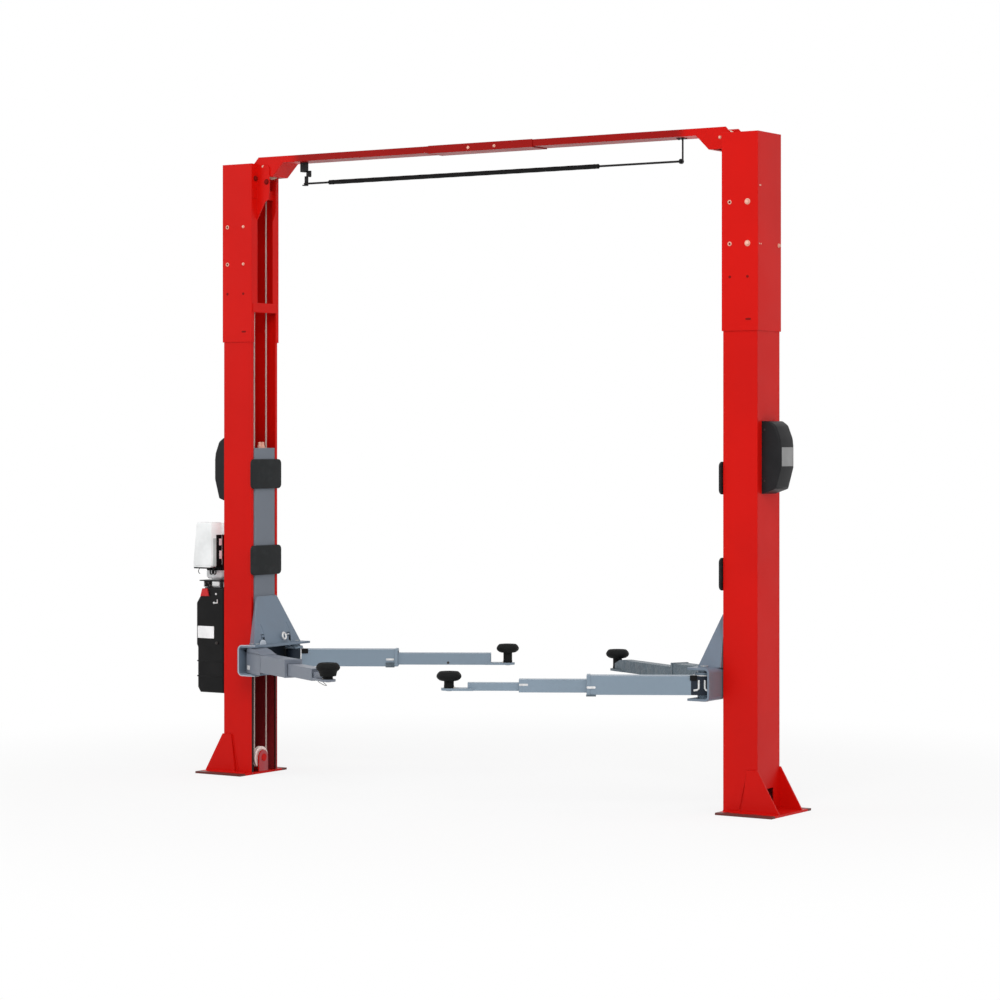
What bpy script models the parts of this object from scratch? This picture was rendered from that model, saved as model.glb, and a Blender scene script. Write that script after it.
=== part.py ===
"""Two post car lift with an overhead beam, modelled in metres with +Z up.

The origin is on the floor, under the axis of the post that carries the power unit. The other post
stands along +X, and +Y runs to the back of the lift. Each post is modelled in its own frame, whose
+X points from the post into the bay, and the second post's frame is turned half a turn.
"""

import math
from dataclasses import dataclass

import bmesh
import bpy
from mathutils import Matrix, Vector

# Fits
GAP = 0.0003
RUNNING = 0.0005
CLEAR = 0.006
EMBED = 0.002

# Bay and posts
POST_SPACING = 3.366
POST_DEPTH = 0.205
POST_WIDTH = 0.248
POST_WALL = 0.006
POST_LIP = 0.020
COLUMN_TOP = 2.715
SLEEVE_BOTTOM = 2.55
SLEEVE_TOP = 3.600
SLEEVE_WALL = 0.0055
SLEEVE_LIP = 0.026
CORNER_SEGMENTS = 3

# Base
PLATE_LENGTH = 0.336
PLATE_WIDTH = 0.449
PLATE_THICKNESS = 0.012
PLATE_OUTSET = 0.071
GUSSET_HEIGHT = 0.235
GUSSET_THICKNESS = 0.010
GUSSET_TOP_WIDTH = 0.060
GUSSET_FOOT_INSET = 0.030
GUSSET_RUN_OUT = 0.006
GUSSET_OVERHANG = 0.004
SHEAVE_BRACKET = 0.008
SHEAVE_BRACKET_RADIUS = 0.044
SHEAVE_BOSS_RADIUS = 0.022
SHEAVE_BOSS_PROUD = 0.006
PIN_PROUD = 0.004
WEB_WINDOW_HALF = 0.055
WEB_WINDOW_TOP = 0.130

# Cross bar, ears and beam
TIE_BOTTOM = 2.725
TIE_HEIGHT = 0.054
TIE_PROUD = 0.003
TIE_INSET = 0.010
UPPER_TIE_BOTTOM = 3.394
EAR_DROP = 0.333
EAR_REACH = 0.092
EAR_THICKNESS = 0.006
SHORT_EAR_REACH = 0.022
SHORT_EAR_RUN = 0.060
SHORT_EAR_TOP_RUN = 0.030
EAR_TOP_DROP = 0.013
EAR_NOSE_RISE = (0.104, 0.123, 0.170)
EAR_TOP_CORNER = 0.014
BEAM_HEIGHT = 0.038
BEAM_WALL = 0.005
BEAM_END = 0.116
BEAM_END_SLOPE = 0.035
CHEEK_BACK = 0.040
CHEEK_TOP_DROP = 0.008
HAUNCH_DROP = 0.079
HAUNCH_FLAT = 0.116
HAUNCH_REACH = 0.196
HAUNCH_RISE = 0.040
HAUNCH_OVERLAP = 0.020
HAUNCH_SKIN = 0.006
SPLICE_LENGTH = 0.700
SPLICE_WALL = 0.004
SPLICE_RISE = 0.002
BEAM_JOINT_GAP = 0.002

# Equaliser rope and its sheaves
ROPE_RADIUS = 0.005
ROPE_HALF_SPACING = 0.057
ROPE_INSET = 0.0325
ROPE_ABOVE_FLOOR = 0.009
ROPE_SEAT = 0.0015
ROPE_SIDES = 6
GROOVE_LIP = 0.007
GROOVE_HALF = 0.005
GROOVE_EDGE = 0.003
TOP_SHEAVE_HUB = 0.018
BASE_SHEAVE_Z = 0.094
BASE_SHEAVE_WIDTH = 0.030
BASE_SHEAVE_RIM_SHARE = 0.7
BASE_SHEAVE_HUB = (0.022, 0.026)
BASE_SHEAVE_DISH = 0.016
BASE_SHEAVE_STEP = 0.003
TOP_SHEAVE_PITCH = 0.045
TOP_SHEAVE_WIDTH = 0.018
TOP_SHEAVE_SIDE_CLEARANCE = 0.0025
SHEAVE_PIN_RADIUS = 0.010
SHEAVE_SIDES = 16
TOP_SHEAVE_SIDES = 12

# Lifting cylinder
CYLINDER_INSET = 0.130
CYLINDER_RADIUS = 0.035
CYLINDER_BORE = 0.026
CYLINDER_TOP = 1.405
CYLINDER_SIDES = 14
GLAND_CLEARANCE = 0.001
GLAND_LENGTH = 0.040
GLAND_PROUD = 0.003
GLAND_DEPTH = 0.030
CYLINDER_FOOT_PROUD = 0.006
CYLINDER_FOOT_HEIGHT = 0.030
CYLINDER_FLOOR = 0.020
ROD_RADIUS = 0.020
ROD_LENGTH = 1.370

# Carriage
CARRIAGE_TOP = 1.925
CARRIAGE_BOTTOM = 0.750
CARRIAGE_HALF = 0.098
CARRIAGE_WALL = 0.008
CARRIAGE_REAR = 0.186
CARRIAGE_CORNER = 0.012
SLIDER_LENGTH = 0.110
SLIDER_INSET = 0.020
GUARD_HALF = 0.146
GUARD_HEIGHT = 0.180
GUARD_THICKNESS = 0.012
GUARD_CORNER = 0.022
GUARD_DROPS = (0.063, 0.572)
FLARE_TOP = 1.049
FLARE_FOOT_HALF = 0.226
FLARE_BACK_HALF = 0.146
FLARE_FOOT_REACH = 0.100
FLARE_TOP_REACH = 0.012
FLARE_WALL = 0.008
FLARE_SLOT_RADIUS = 0.017

# Yoke that holds the arms
YOKE_HALF = 0.265
YOKE_BOTTOM = 0.597
YOKE_TOP = 0.773
YOKE_PLATE = 0.012
YOKE_CORNER = 0.026
YOKE_STANDOFF = 0.0065
YOKE_REACH = 0.138
PIVOT_REACH = 0.080
PIVOT_HALF = 0.190
PIN_RADIUS = 0.020
PIN_CAP_RADIUS = 0.028
PIN_CAP_HEIGHT = 0.006

# Arms
ARM_HEIGHT = 0.100
ARM_WIDTH = 0.100
ARM_WALL = 0.010
ARM_HEAD_RADIUS = 0.034
ARM_LENGTH = 0.620
ARM_CAVITY_START = 0.060
ARM_BELOW_MIDDLE = 0.007
SECOND_WIDTH = 0.074
SECOND_HEIGHT = 0.068
SECOND_WALL = 0.007
THIRD_WIDTH = 0.052
THIRD_HEIGHT = 0.042
FRONT_SECOND_LENGTH = 0.560
FRONT_THIRD_LENGTH = 0.530
REAR_SECOND_LENGTH = 0.760
PAD_BEYOND_STAGE = 0.100
HOLDER_THICKNESS = 0.012
HOLDER_RADIUS = 0.042
HOLDER_ROOT = 0.030
GUIDE_LENGTH = 0.050
GUIDE_INSET = 0.009

# Arm restraint
TOOTH_PITCH_DEG = 7.2
TOOTH_ROOT = 0.050
TOOTH_TIP = 0.058
SECTOR_THICKNESS = 0.012
SECTOR_BOTTOM = 0.734
SECTOR_TEETH = 16
SECTOR_LOW_TEETH = 9
LOCK_LIFT = 0.0135
LOCK_BLOCK_DEPTH = 0.014
LOCK_ROD_RADIUS = 0.006
LOCK_ROD_RISE = 0.050
LOCK_HEAD_RADIUS = 0.012
LOCK_TEETH = 3

# Pads
PAD_RADIUS = 0.0675
PAD_TOP = 0.760
PAD_THICKNESS = 0.042
PAD_NECK_RADIUS = 0.027
PAD_STEM_RADIUS = 0.016
PAD_STEM_BELOW = 0.004
PAD_SIDES = 18

# Lock release covers
COVER_HEIGHT = 0.385
COVER_REACH = 0.112
COVER_HALF = 0.077
LEFT_COVER_TOP = 1.985
RIGHT_COVER_TOP = 2.074

# Power unit
UNIT_BRACKET = 0.030
TANK_BOTTOM = 0.467
TANK_TOP = 1.094
TANK_REACH = 0.240
TANK_HALF = 0.090
TANK_SHOULDER_RUN = 0.062
TANK_SHOULDER_DROP = 0.094
TANK_STEP = 0.009
TANK_STEP_Z = 0.735
PUMP_HEIGHT = 0.040
PUMP_SIZE = (0.150, 0.110)
PUMP_ARM_WIDTH = 0.090
PUMP_PLATE = (0.008, 0.160, 0.060)
PUMP_COLLAR_RADIUS = 0.045
PUMP_COLLAR_HEIGHT = 0.010
MOTOR_RADIUS = 0.075
MOTOR_TOP = 1.470
MOTOR_SIDES = 20
MOTOR_FINS = 18
MOTOR_FIN_DEPTH = 0.009
MOTOR_BELL_HEIGHT = 0.050
MOTOR_COWL_HEIGHT = 0.070
TERMINAL_BOX_TOP = 1.483
TERMINAL_BOX_HEIGHT = 0.262
TERMINAL_BOX_WIDTH = 0.175
TERMINAL_BOX_DEPTH = 0.060
TERMINAL_BOX_TAPER = 0.033
TERMINAL_BOX_SLANT = 0.032
TERMINAL_BOX_INSET = 0.006

# Overhead stop bar
BAR_Z = 3.475
BAR_RADIUS = 0.006
BAR_LEFT = 0.398
BAR_RIGHT = 2.938
SLEEVE_LEFT = 0.578
SLEEVE_RIGHT = 2.420
SLEEVE_RADIUS = 0.0135
HANGER_RADIUS = 0.005
HANGER_OFFSET = 0.016
HANGER_FLANGE = (0.040, 0.050, 0.004)
EYE_RADIUS = 0.014
EYE_WIDTH = 0.012
SWITCH_LENGTH = 0.030
SWITCH_WIDTH = 0.040
SWITCH_HEIGHT = 0.057
SWITCH_LEVER_DROP = 0.027
SWITCH_LEVER_REACH = 0.038
HOOK_LENGTH = 0.018
HOOK_THICKNESS = 0.006

# Derived places, in a post's own frame
MOUTH = POST_DEPTH / 2
WEB = -POST_DEPTH / 2
SLEEVE_HALF_DEPTH = MOUTH + GAP + SLEEVE_WALL
SLEEVE_HALF_WIDTH = POST_WIDTH / 2 + GAP + SLEEVE_WALL
FLOOR_TOP = PLATE_THICKNESS + GAP
ROPE_X = MOUTH - ROPE_INSET
BEAM_WIDTH = 2 * (ROPE_HALF_SPACING + TOP_SHEAVE_WIDTH / 2 + TOP_SHEAVE_SIDE_CLEARANCE + BEAM_WALL)
TOP_SHEAVE_RIM = TOP_SHEAVE_PITCH + GROOVE_LIP
BASE_SHEAVE_RIM = ROPE_HALF_SPACING + GROOVE_LIP
CARRIAGE_FACE = SLEEVE_HALF_DEPTH + RUNNING
PIVOT_X = MOUTH + PIVOT_REACH
BEAM_TOP = SLEEVE_TOP + GAP + BEAM_HEIGHT
YOKE_FLOOR = YOKE_BOTTOM + YOKE_PLATE
YOKE_CEILING = YOKE_TOP - YOKE_PLATE
ARM_BOTTOM = (YOKE_FLOOR + YOKE_CEILING - ARM_HEIGHT) / 2 - ARM_BELOW_MIDDLE
SECOND_BOTTOM = ARM_BOTTOM + ARM_WALL + GAP
THIRD_BOTTOM = SECOND_BOTTOM + SECOND_WALL + GAP


@dataclass(frozen=True)
class Arm:
    """One arm: its post, its side of the bay, and how far it is drawn out in the stored pose."""

    name: str
    post: str
    side: int
    angle: float
    second_front: float
    third_front: float = 0.0

    @property
    def stages(self):
        return 3 if self.third_front else 2

    @property
    def pad_distance(self):
        return max(self.second_front, self.third_front) + PAD_BEYOND_STAGE


ARMS = (
    Arm("left_front", "left", -1, 31.5, 0.985, 1.040),
    Arm("left_rear", "left", 1, 31.0, 1.171),
    Arm("right_front", "right", 1, 31.0, 0.978, 1.250),
    Arm("right_rear", "right", -1, 29.0, 1.200),
)


def clear_scene():
    for item in list(bpy.data.objects):
        bpy.data.objects.remove(item, do_unlink=True)


def material(name, colour, roughness, metallic=0.0):
    made = bpy.data.materials.get(name)
    if made:
        return made
    made = bpy.data.materials.new(name)
    made.use_nodes = True
    shader = made.node_tree.nodes["Principled BSDF"]
    shader.inputs["Base Color"].default_value = (*colour, 1.0)
    shader.inputs["Roughness"].default_value = roughness
    shader.inputs["Metallic"].default_value = metallic
    return made


def red_paint():
    return material("red_paint", (0.610, 0.017, 0.011), 0.35)


def grey_paint():
    return material("grey_paint", (0.155, 0.180, 0.225), 0.40)


def arm_paint():
    return material("arm_paint", (0.231, 0.305, 0.376), 0.40)


def bare_steel():
    return material("bare_steel", (0.55, 0.55, 0.56), 0.35, 1.0)


def wire_rope():
    return material("wire_rope", (0.50, 0.46, 0.43), 0.45, 0.6)


def cream_plastic():
    return material("cream_plastic", (0.80, 0.74, 0.62), 0.45)


def black_rubber():
    return material("black_rubber", (0.016, 0.016, 0.017), 0.70)


def black_plastic():
    return material("black_plastic", (0.026, 0.026, 0.027), 0.50)


def white_plastic():
    return material("white_plastic", (0.80, 0.80, 0.81), 0.35)


def black_paint():
    return material("black_paint", (0.012, 0.012, 0.012), 0.35)


def cast_metal():
    return material("cast_metal", (0.42, 0.43, 0.44), 0.50, 0.8)


def empty(name, location, parent=None, angle=0.0):
    """An empty that carries a sub-assembly, turned about its own vertical axis."""
    made = bpy.data.objects.new(name, None)
    bpy.context.collection.objects.link(made)
    made.location = location
    made.rotation_euler = (0.0, 0.0, angle)
    made.parent = parent
    return made


def finish(name, shape, surface, parent=None, smooth_angle=30.0):
    """Turns a bmesh into a named object with outward faces and its own material."""
    bmesh.ops.recalc_face_normals(shape, faces=shape.faces)
    mesh = bpy.data.meshes.new(name)
    shape.to_mesh(mesh)
    shape.free()
    mesh.materials.append(surface)
    mesh.shade_smooth()
    mesh.set_sharp_from_angle(angle=math.radians(smooth_angle))
    made = bpy.data.objects.new(name, mesh)
    bpy.context.collection.objects.link(made)
    made.parent = parent
    return made


def prism(outline, axis, low, high):
    """A closed outline pushed along an axis. The outline lists the other two axes, in X, Y, Z order."""
    place = {
        "X": lambda a, b, c: (c, a, b),
        "Y": lambda a, b, c: (a, c, b),
        "Z": lambda a, b, c: (a, b, c),
    }
    shape = bmesh.new()
    ring = [shape.verts.new(place[axis](a, b, low)) for a, b in outline]
    face = shape.faces.new(ring)
    pushed = bmesh.ops.extrude_face_region(shape, geom=[face])
    direction = Vector(place[axis](0.0, 0.0, high - low))
    moved = [item for item in pushed["geom"] if isinstance(item, bmesh.types.BMVert)]
    bmesh.ops.translate(shape, verts=moved, vec=direction)
    bmesh.ops.recalc_face_normals(shape, faces=shape.faces)
    return shape


def box(low, high):
    """A box between two corners."""
    outline = ((low[0], low[1]), (high[0], low[1]), (high[0], high[1]), (low[0], high[1]))
    return prism(outline, "Z", low[2], high[2])


def circle(radius, sides, centre=(0.0, 0.0)):
    """The points of a circle, with flats facing its axes' diagonals."""
    step = 2 * math.pi / sides
    turns = [step * k for k in range(sides)]
    return [(centre[0] + radius * math.cos(t), centre[1] + radius * math.sin(t)) for t in turns]


def rod(radius, axis, centre, low, high, sides=24):
    """A round bar along an axis."""
    return prism(circle(radius, sides, centre), axis, low, high)


def rounded(width, height, radius, centre=(0.0, 0.0), segments=CORNER_SEGMENTS):
    """The outline of a rectangle with round corners."""
    corners = ((1, 1, 0), (-1, 1, 90), (-1, -1, 180), (1, -1, 270))
    points = []
    for sign_x, sign_y, start in corners:
        corner_x = centre[0] + sign_x * (width / 2 - radius)
        corner_y = centre[1] + sign_y * (height / 2 - radius)
        for step in range(segments + 1):
            turn = math.radians(start + 90 * step / segments)
            points.append((corner_x + radius * math.cos(turn), corner_y + radius * math.sin(turn)))
    return points


def turned(profile, axis, centre, sides):
    """A solid of revolution. The profile lists distance along the axis and radius.

    It closes on itself, unless both of its ends lie on the axis.
    """
    shape = bmesh.new()
    verts = [shape.verts.new((along, radius, 0.0)) for along, radius in profile]
    first = 0 if profile[0][1] > 0 or profile[-1][1] > 0 else 1
    edges = [shape.edges.new((verts[k - 1], verts[k])) for k in range(first, len(verts))]
    bmesh.ops.spin(
        shape,
        geom=verts + edges,
        cent=(0.0, 0.0, 0.0),
        axis=(1.0, 0.0, 0.0),
        angle=2 * math.pi,
        steps=sides,
        use_merge=True,
    )
    bmesh.ops.remove_doubles(shape, verts=shape.verts, dist=1e-6)
    turn = {
        "X": Matrix(),
        "Y": Matrix.Rotation(math.pi / 2, 4, "Z"),
        "Z": Matrix.Rotation(-math.pi / 2, 4, "Y"),
    }
    bmesh.ops.transform(shape, matrix=Matrix.Translation(centre) @ turn[axis], verts=shape.verts)
    bmesh.ops.recalc_face_normals(shape, faces=shape.faces)
    return shape


def temporary(shape):
    mesh = bpy.data.meshes.new("working")
    shape.to_mesh(mesh)
    shape.free()
    made = bpy.data.objects.new("working", mesh)
    bpy.context.collection.objects.link(made)
    return made


def combined(body, added=(), cut=()):
    """Fuses the added shapes to a body, then cuts the others out of it."""
    base = temporary(body)
    tools = [(temporary(shape), "UNION") for shape in added]
    tools += [(temporary(shape), "DIFFERENCE") for shape in cut]
    for tool, operation in tools:
        boolean = base.modifiers.new("fuse", "BOOLEAN")
        boolean.operation = operation
        boolean.solver = "EXACT"
        boolean.object = tool
    evaluated = base.evaluated_get(bpy.context.evaluated_depsgraph_get())
    result = bmesh.new()
    result.from_mesh(evaluated.to_mesh())
    evaluated.to_mesh_clear()
    for item in [base] + [tool for tool, _ in tools]:
        mesh = item.data
        bpy.data.objects.remove(item, do_unlink=True)
        bpy.data.meshes.remove(mesh)
    bmesh.ops.remove_doubles(result, verts=result.verts, dist=1e-6)
    bmesh.ops.dissolve_limit(
        result, angle_limit=math.radians(0.5), verts=result.verts, edges=result.edges, delimit={"NORMAL"}
    )
    return result


def channel_outline(half_depth, half_width, wall, lip):
    """The section of a post: a C that opens to +X, with a lip on each flange."""
    inner_depth = half_depth - wall
    inner_width = half_width - wall
    lip_end = half_width - lip
    upper = [
        (half_depth, lip_end),
        (half_depth, half_width),
        (-half_depth, half_width),
    ]
    lower = [(x, -y) for x, y in reversed(upper)]
    inside = [
        (half_depth, -lip_end),
        (inner_depth, -lip_end),
        (inner_depth, -inner_width),
        (-inner_depth, -inner_width),
        (-inner_depth, inner_width),
        (inner_depth, inner_width),
        (inner_depth, lip_end),
    ]
    return upper + lower[:-1] + inside


def base(side, post):
    """The base plate, with its two side gussets and the bracket and pin of the base sheave."""
    plate_low = -PLATE_OUTSET - PLATE_LENGTH / 2
    plate_high = -PLATE_OUTSET + PLATE_LENGTH / 2
    plate = box((plate_low, -PLATE_WIDTH / 2, 0.0), (plate_high, PLATE_WIDTH / 2, PLATE_THICKNESS))
    foot = PLATE_THICKNESS - EMBED
    outline = (
        (WEB + GUSSET_TOP_WIDTH + GUSSET_FOOT_INSET, foot),
        (WEB + GUSSET_TOP_WIDTH, GUSSET_HEIGHT),
        (WEB - GUSSET_OVERHANG, GUSSET_HEIGHT),
        (plate_low + GUSSET_RUN_OUT, PLATE_THICKNESS + GUSSET_OVERHANG),
        (plate_low + GUSSET_RUN_OUT, foot),
    )
    inner_face = POST_WIDTH / 2 + GAP
    gussets = [
        prism(outline, "Y", sign * inner_face, sign * (inner_face + GUSSET_THICKNESS)) for sign in (-1, 1)
    ]
    near = ROPE_X + BASE_SHEAVE_WIDTH / 2 + CLEAR / 2
    far = near + SHEAVE_BRACKET
    bracket_outline = [(-SHEAVE_BRACKET_RADIUS, foot), (SHEAVE_BRACKET_RADIUS, foot)]
    bracket_outline += arc((0.0, BASE_SHEAVE_Z), SHEAVE_BRACKET_RADIUS, 0, 180, 10)
    bracket = prism(bracket_outline, "X", near, far)
    axis = (0.0, BASE_SHEAVE_Z)
    boss = rod(SHEAVE_BOSS_RADIUS, "X", axis, far - EMBED, far + SHEAVE_BOSS_PROUD, 16)
    pin = rod(SHEAVE_PIN_RADIUS, "X", axis, ROPE_X - BASE_SHEAVE_WIDTH / 2 - PIN_PROUD, far - EMBED, 16)
    return finish(f"{side}_base", combined(plate, gussets + [bracket, boss, pin]), red_paint(), post)


def column(side, post):
    """The lower post, a folded channel with a window at the foot of its web."""
    shape = prism(channel_outline(MOUTH, POST_WIDTH / 2, POST_WALL, POST_LIP), "Z", FLOOR_TOP, COLUMN_TOP)
    window = box(
        (WEB - 0.01, -WEB_WINDOW_HALF, 0.0), (WEB + POST_WALL + 0.01, WEB_WINDOW_HALF, WEB_WINDOW_TOP)
    )
    return finish(f"{side}_column", combined(shape, cut=[window]), red_paint(), post)


def extension(side, post):
    """The upper post, a sleeve over the column, with two ties across its mouth.

    Above the lower tie, strips narrow the mouth to the beam's width and carry an ear each. The ear on
    the post's -Y side is the long one.
    """
    section = channel_outline(SLEEVE_HALF_DEPTH, SLEEVE_HALF_WIDTH, SLEEVE_WALL, SLEEVE_LIP)
    shape = prism(section, "Z", SLEEVE_BOTTOM, SLEEVE_TOP)
    mouth = SLEEVE_HALF_DEPTH
    root = mouth - SLEEVE_WALL
    tie_half = SLEEVE_HALF_WIDTH - TIE_INSET
    ties = [
        box((root, -tie_half, low), (mouth + TIE_PROUD, tie_half, low + TIE_HEIGHT))
        for low in (TIE_BOTTOM, UPPER_TIE_BOTTOM)
    ]
    ear_face = BEAM_WIDTH / 2 + GAP
    ears = []
    for sign, outline in ((-1, long_ear_outline()), (1, short_ear_outline())):
        edges = sorted((sign * ear_face, sign * (SLEEVE_HALF_WIDTH - SLEEVE_LIP / 2)))
        ears.append(box((root, edges[0], TIE_BOTTOM + EMBED), (mouth, edges[1], SLEEVE_TOP)))
        ears.append(prism(outline, "Y", sign * ear_face, sign * (ear_face + EAR_THICKNESS)))
    return finish(f"{side}_extension", combined(shape, ties + ears), red_paint(), post)


def long_ear_outline():
    """The ear that reaches out under the beam, with a hooked nose."""
    root = SLEEVE_HALF_DEPTH - SLEEVE_WALL / 2
    mouth = SLEEVE_HALF_DEPTH
    low = SLEEVE_TOP - EAR_DROP
    high = SLEEVE_TOP - EAR_TOP_DROP
    return (
        (root, low),
        (mouth, low),
        (mouth + 0.64 * EAR_REACH, low + EAR_NOSE_RISE[0]),
        (mouth + 0.92 * EAR_REACH, low + EAR_NOSE_RISE[1]),
        (mouth + EAR_REACH, low + EAR_NOSE_RISE[2]),
        (mouth + EAR_REACH, high - EAR_TOP_CORNER),
        (mouth + EAR_REACH - EAR_TOP_CORNER, high),
        (root, high),
    )


def short_ear_outline():
    """The ear that only stiffens the edge of the mouth."""
    root = SLEEVE_HALF_DEPTH - SLEEVE_WALL / 2
    mouth = SLEEVE_HALF_DEPTH
    low = SLEEVE_TOP - EAR_DROP
    high = SLEEVE_TOP - EAR_TOP_DROP
    return (
        (root, low),
        (mouth, low),
        (mouth + SHORT_EAR_REACH, low + SHORT_EAR_RUN),
        (mouth + SHORT_EAR_REACH, high - SHORT_EAR_TOP_RUN),
        (mouth + 0.4 * SHORT_EAR_REACH, high),
        (root, high),
    )


def beam_half(side, post):
    """Half of the overhead channel, with the cheeks at its end that hold the top sheaves."""
    low = SLEEVE_TOP + GAP
    half = BEAM_WIDTH / 2
    inner_end = POST_SPACING / 2 - BEAM_JOINT_GAP / 2
    channel = (
        (-half, low),
        (half, low),
        (half, BEAM_TOP),
        (half - BEAM_WALL, BEAM_TOP),
        (half - BEAM_WALL, low + BEAM_WALL),
        (-half + BEAM_WALL, low + BEAM_WALL),
        (-half + BEAM_WALL, BEAM_TOP),
        (-half, BEAM_TOP),
    )
    shape = prism(channel, "X", BEAM_END, inner_end)
    drop = low - HAUNCH_DROP
    cheek_outline = (
        (BEAM_END, BEAM_TOP),
        (BEAM_END - BEAM_END_SLOPE, low),
        (CHEEK_BACK, low - CHEEK_TOP_DROP),
        (CHEEK_BACK, drop),
        (MOUTH + HAUNCH_FLAT, drop),
        (MOUTH + HAUNCH_REACH, low + EMBED),
        (MOUTH + HAUNCH_REACH + HAUNCH_RISE, BEAM_TOP),
    )
    cheeks = [prism(cheek_outline, "Y", sign * (half - BEAM_WALL), sign * half) for sign in (-1, 1)]
    slope = prism(
        (
            (MOUTH + HAUNCH_FLAT - HAUNCH_OVERLAP, drop),
            (MOUTH + HAUNCH_FLAT, drop),
            (MOUTH + HAUNCH_REACH, low + EMBED),
            (MOUTH + HAUNCH_REACH - HAUNCH_OVERLAP / 2, low + BEAM_WALL / 2),
            (MOUTH + HAUNCH_FLAT - HAUNCH_SKIN / 2, drop + HAUNCH_SKIN),
            (MOUTH + HAUNCH_FLAT - HAUNCH_OVERLAP, drop + HAUNCH_SKIN),
        ),
        "Y",
        -half + BEAM_WALL / 2,
        half - BEAM_WALL / 2,
    )
    sheave_x = ROPE_X + TOP_SHEAVE_PITCH
    sheave_z = top_sheave_height()
    slot = box(
        (sheave_x - TOP_SHEAVE_RIM - CLEAR, -half + BEAM_WALL + 0.0002, low - 0.01),
        (sheave_x + TOP_SHEAVE_RIM + CLEAR, half - BEAM_WALL - 0.0002, low + BEAM_WALL + 0.001),
    )
    bore = rod(SHEAVE_PIN_RADIUS + GAP, "Y", (sheave_x, sheave_z), -half - 0.01, half + 0.01)
    return finish(f"{side}_beam", combined(shape, cheeks + [slope], [slot, bore]), red_paint(), post)


def top_sheave_height():
    """The height of a top sheave's pin, so that the rope runs just above the channel's floor."""
    rope_height = SLEEVE_TOP + GAP + BEAM_WALL + ROPE_ABOVE_FLOOR
    return rope_height - TOP_SHEAVE_PITCH


def beam_splice():
    """The sleeve that joins the two halves of the beam, a channel that fits round both."""
    middle = POST_SPACING / 2
    half = BEAM_WIDTH / 2 + GAP
    low = SLEEVE_TOP
    high = BEAM_TOP + SPLICE_RISE
    outline = (
        (-half - SPLICE_WALL, low - SPLICE_WALL),
        (half + SPLICE_WALL, low - SPLICE_WALL),
        (half + SPLICE_WALL, high),
        (half, high),
        (half, low),
        (-half, low),
        (-half, high),
        (-half - SPLICE_WALL, high),
    )
    shape = prism(outline, "X", middle - SPLICE_LENGTH / 2, middle + SPLICE_LENGTH / 2)
    return finish("beam_splice", shape, red_paint())


def groove(centre, width, rim, depth):
    """Profile points of one rope groove, from its low side to its high side."""
    return (
        (centre - width / 2, rim),
        (centre - width / 2 + GROOVE_EDGE, rim),
        (centre - GROOVE_HALF, rim - depth),
        (centre + GROOVE_HALF, rim - depth),
        (centre + width / 2 - GROOVE_EDGE, rim),
        (centre + width / 2, rim),
    )


def top_sheaves(side, post):
    """The two sheaves on the pin at the top of a post."""
    bearing_end = BEAM_WIDTH / 2 - BEAM_WALL - RUNNING
    pin_end = BEAM_WIDTH / 2
    depth = GROOVE_LIP + ROPE_RADIUS + ROPE_SEAT
    lower = groove(-ROPE_HALF_SPACING, TOP_SHEAVE_WIDTH, TOP_SHEAVE_RIM, depth)
    upper = groove(ROPE_HALF_SPACING, TOP_SHEAVE_WIDTH, TOP_SHEAVE_RIM, depth)
    hub = TOP_SHEAVE_HUB
    profile = [(-pin_end, 0.0), (-pin_end, SHEAVE_PIN_RADIUS), (-bearing_end, SHEAVE_PIN_RADIUS)]
    profile += [(-bearing_end, hub)]
    profile += [(lower[0][0], hub), *lower, (lower[-1][0], hub)]
    profile += [(upper[0][0], hub), *upper, (upper[-1][0], hub)]
    profile += [(bearing_end, hub)]
    profile += [(bearing_end, SHEAVE_PIN_RADIUS), (pin_end, SHEAVE_PIN_RADIUS), (pin_end, 0.0)]
    centre = (ROPE_X + TOP_SHEAVE_PITCH, 0.0, top_sheave_height())
    shape = turned(profile, "Y", centre, TOP_SHEAVE_SIDES)
    return finish(f"{side}_top_sheaves", shape, cream_plastic(), post)


def base_sheave(side, post):
    """The grooved wheel at the foot of a post, which turns the rope back up."""
    bore = SHEAVE_PIN_RADIUS + GAP
    half = BASE_SHEAVE_WIDTH / 2
    depth = GROOVE_LIP + ROPE_RADIUS + ROPE_SEAT
    face = BASE_SHEAVE_WIDTH * BASE_SHEAVE_RIM_SHARE / 2
    sunk = face - BASE_SHEAVE_STEP
    dish = BASE_SHEAVE_RIM - BASE_SHEAVE_DISH
    hub_end, hub_root = BASE_SHEAVE_HUB
    near_side = [(half, bore), (half, hub_end), (sunk, hub_root), (sunk, dish), (face, dish + BASE_SHEAVE_STEP)]
    far_side = [(-along, radius) for along, radius in near_side]
    profile = far_side + list(groove(0.0, 2 * face, BASE_SHEAVE_RIM, depth)) + near_side[::-1]
    shape = turned(profile, "X", (ROPE_X, 0.0, BASE_SHEAVE_Z), SHEAVE_SIDES)
    return finish(f"{side}_base_sheave", shape, cream_plastic(), post)


def arc(centre, radius, start, end, steps):
    """Points of an arc in a plane, angles in degrees."""
    turns = [math.radians(start + (end - start) * k / steps) for k in range(steps + 1)]
    return [(centre[0] + radius * math.cos(t), centre[1] + radius * math.sin(t)) for t in turns]


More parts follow.
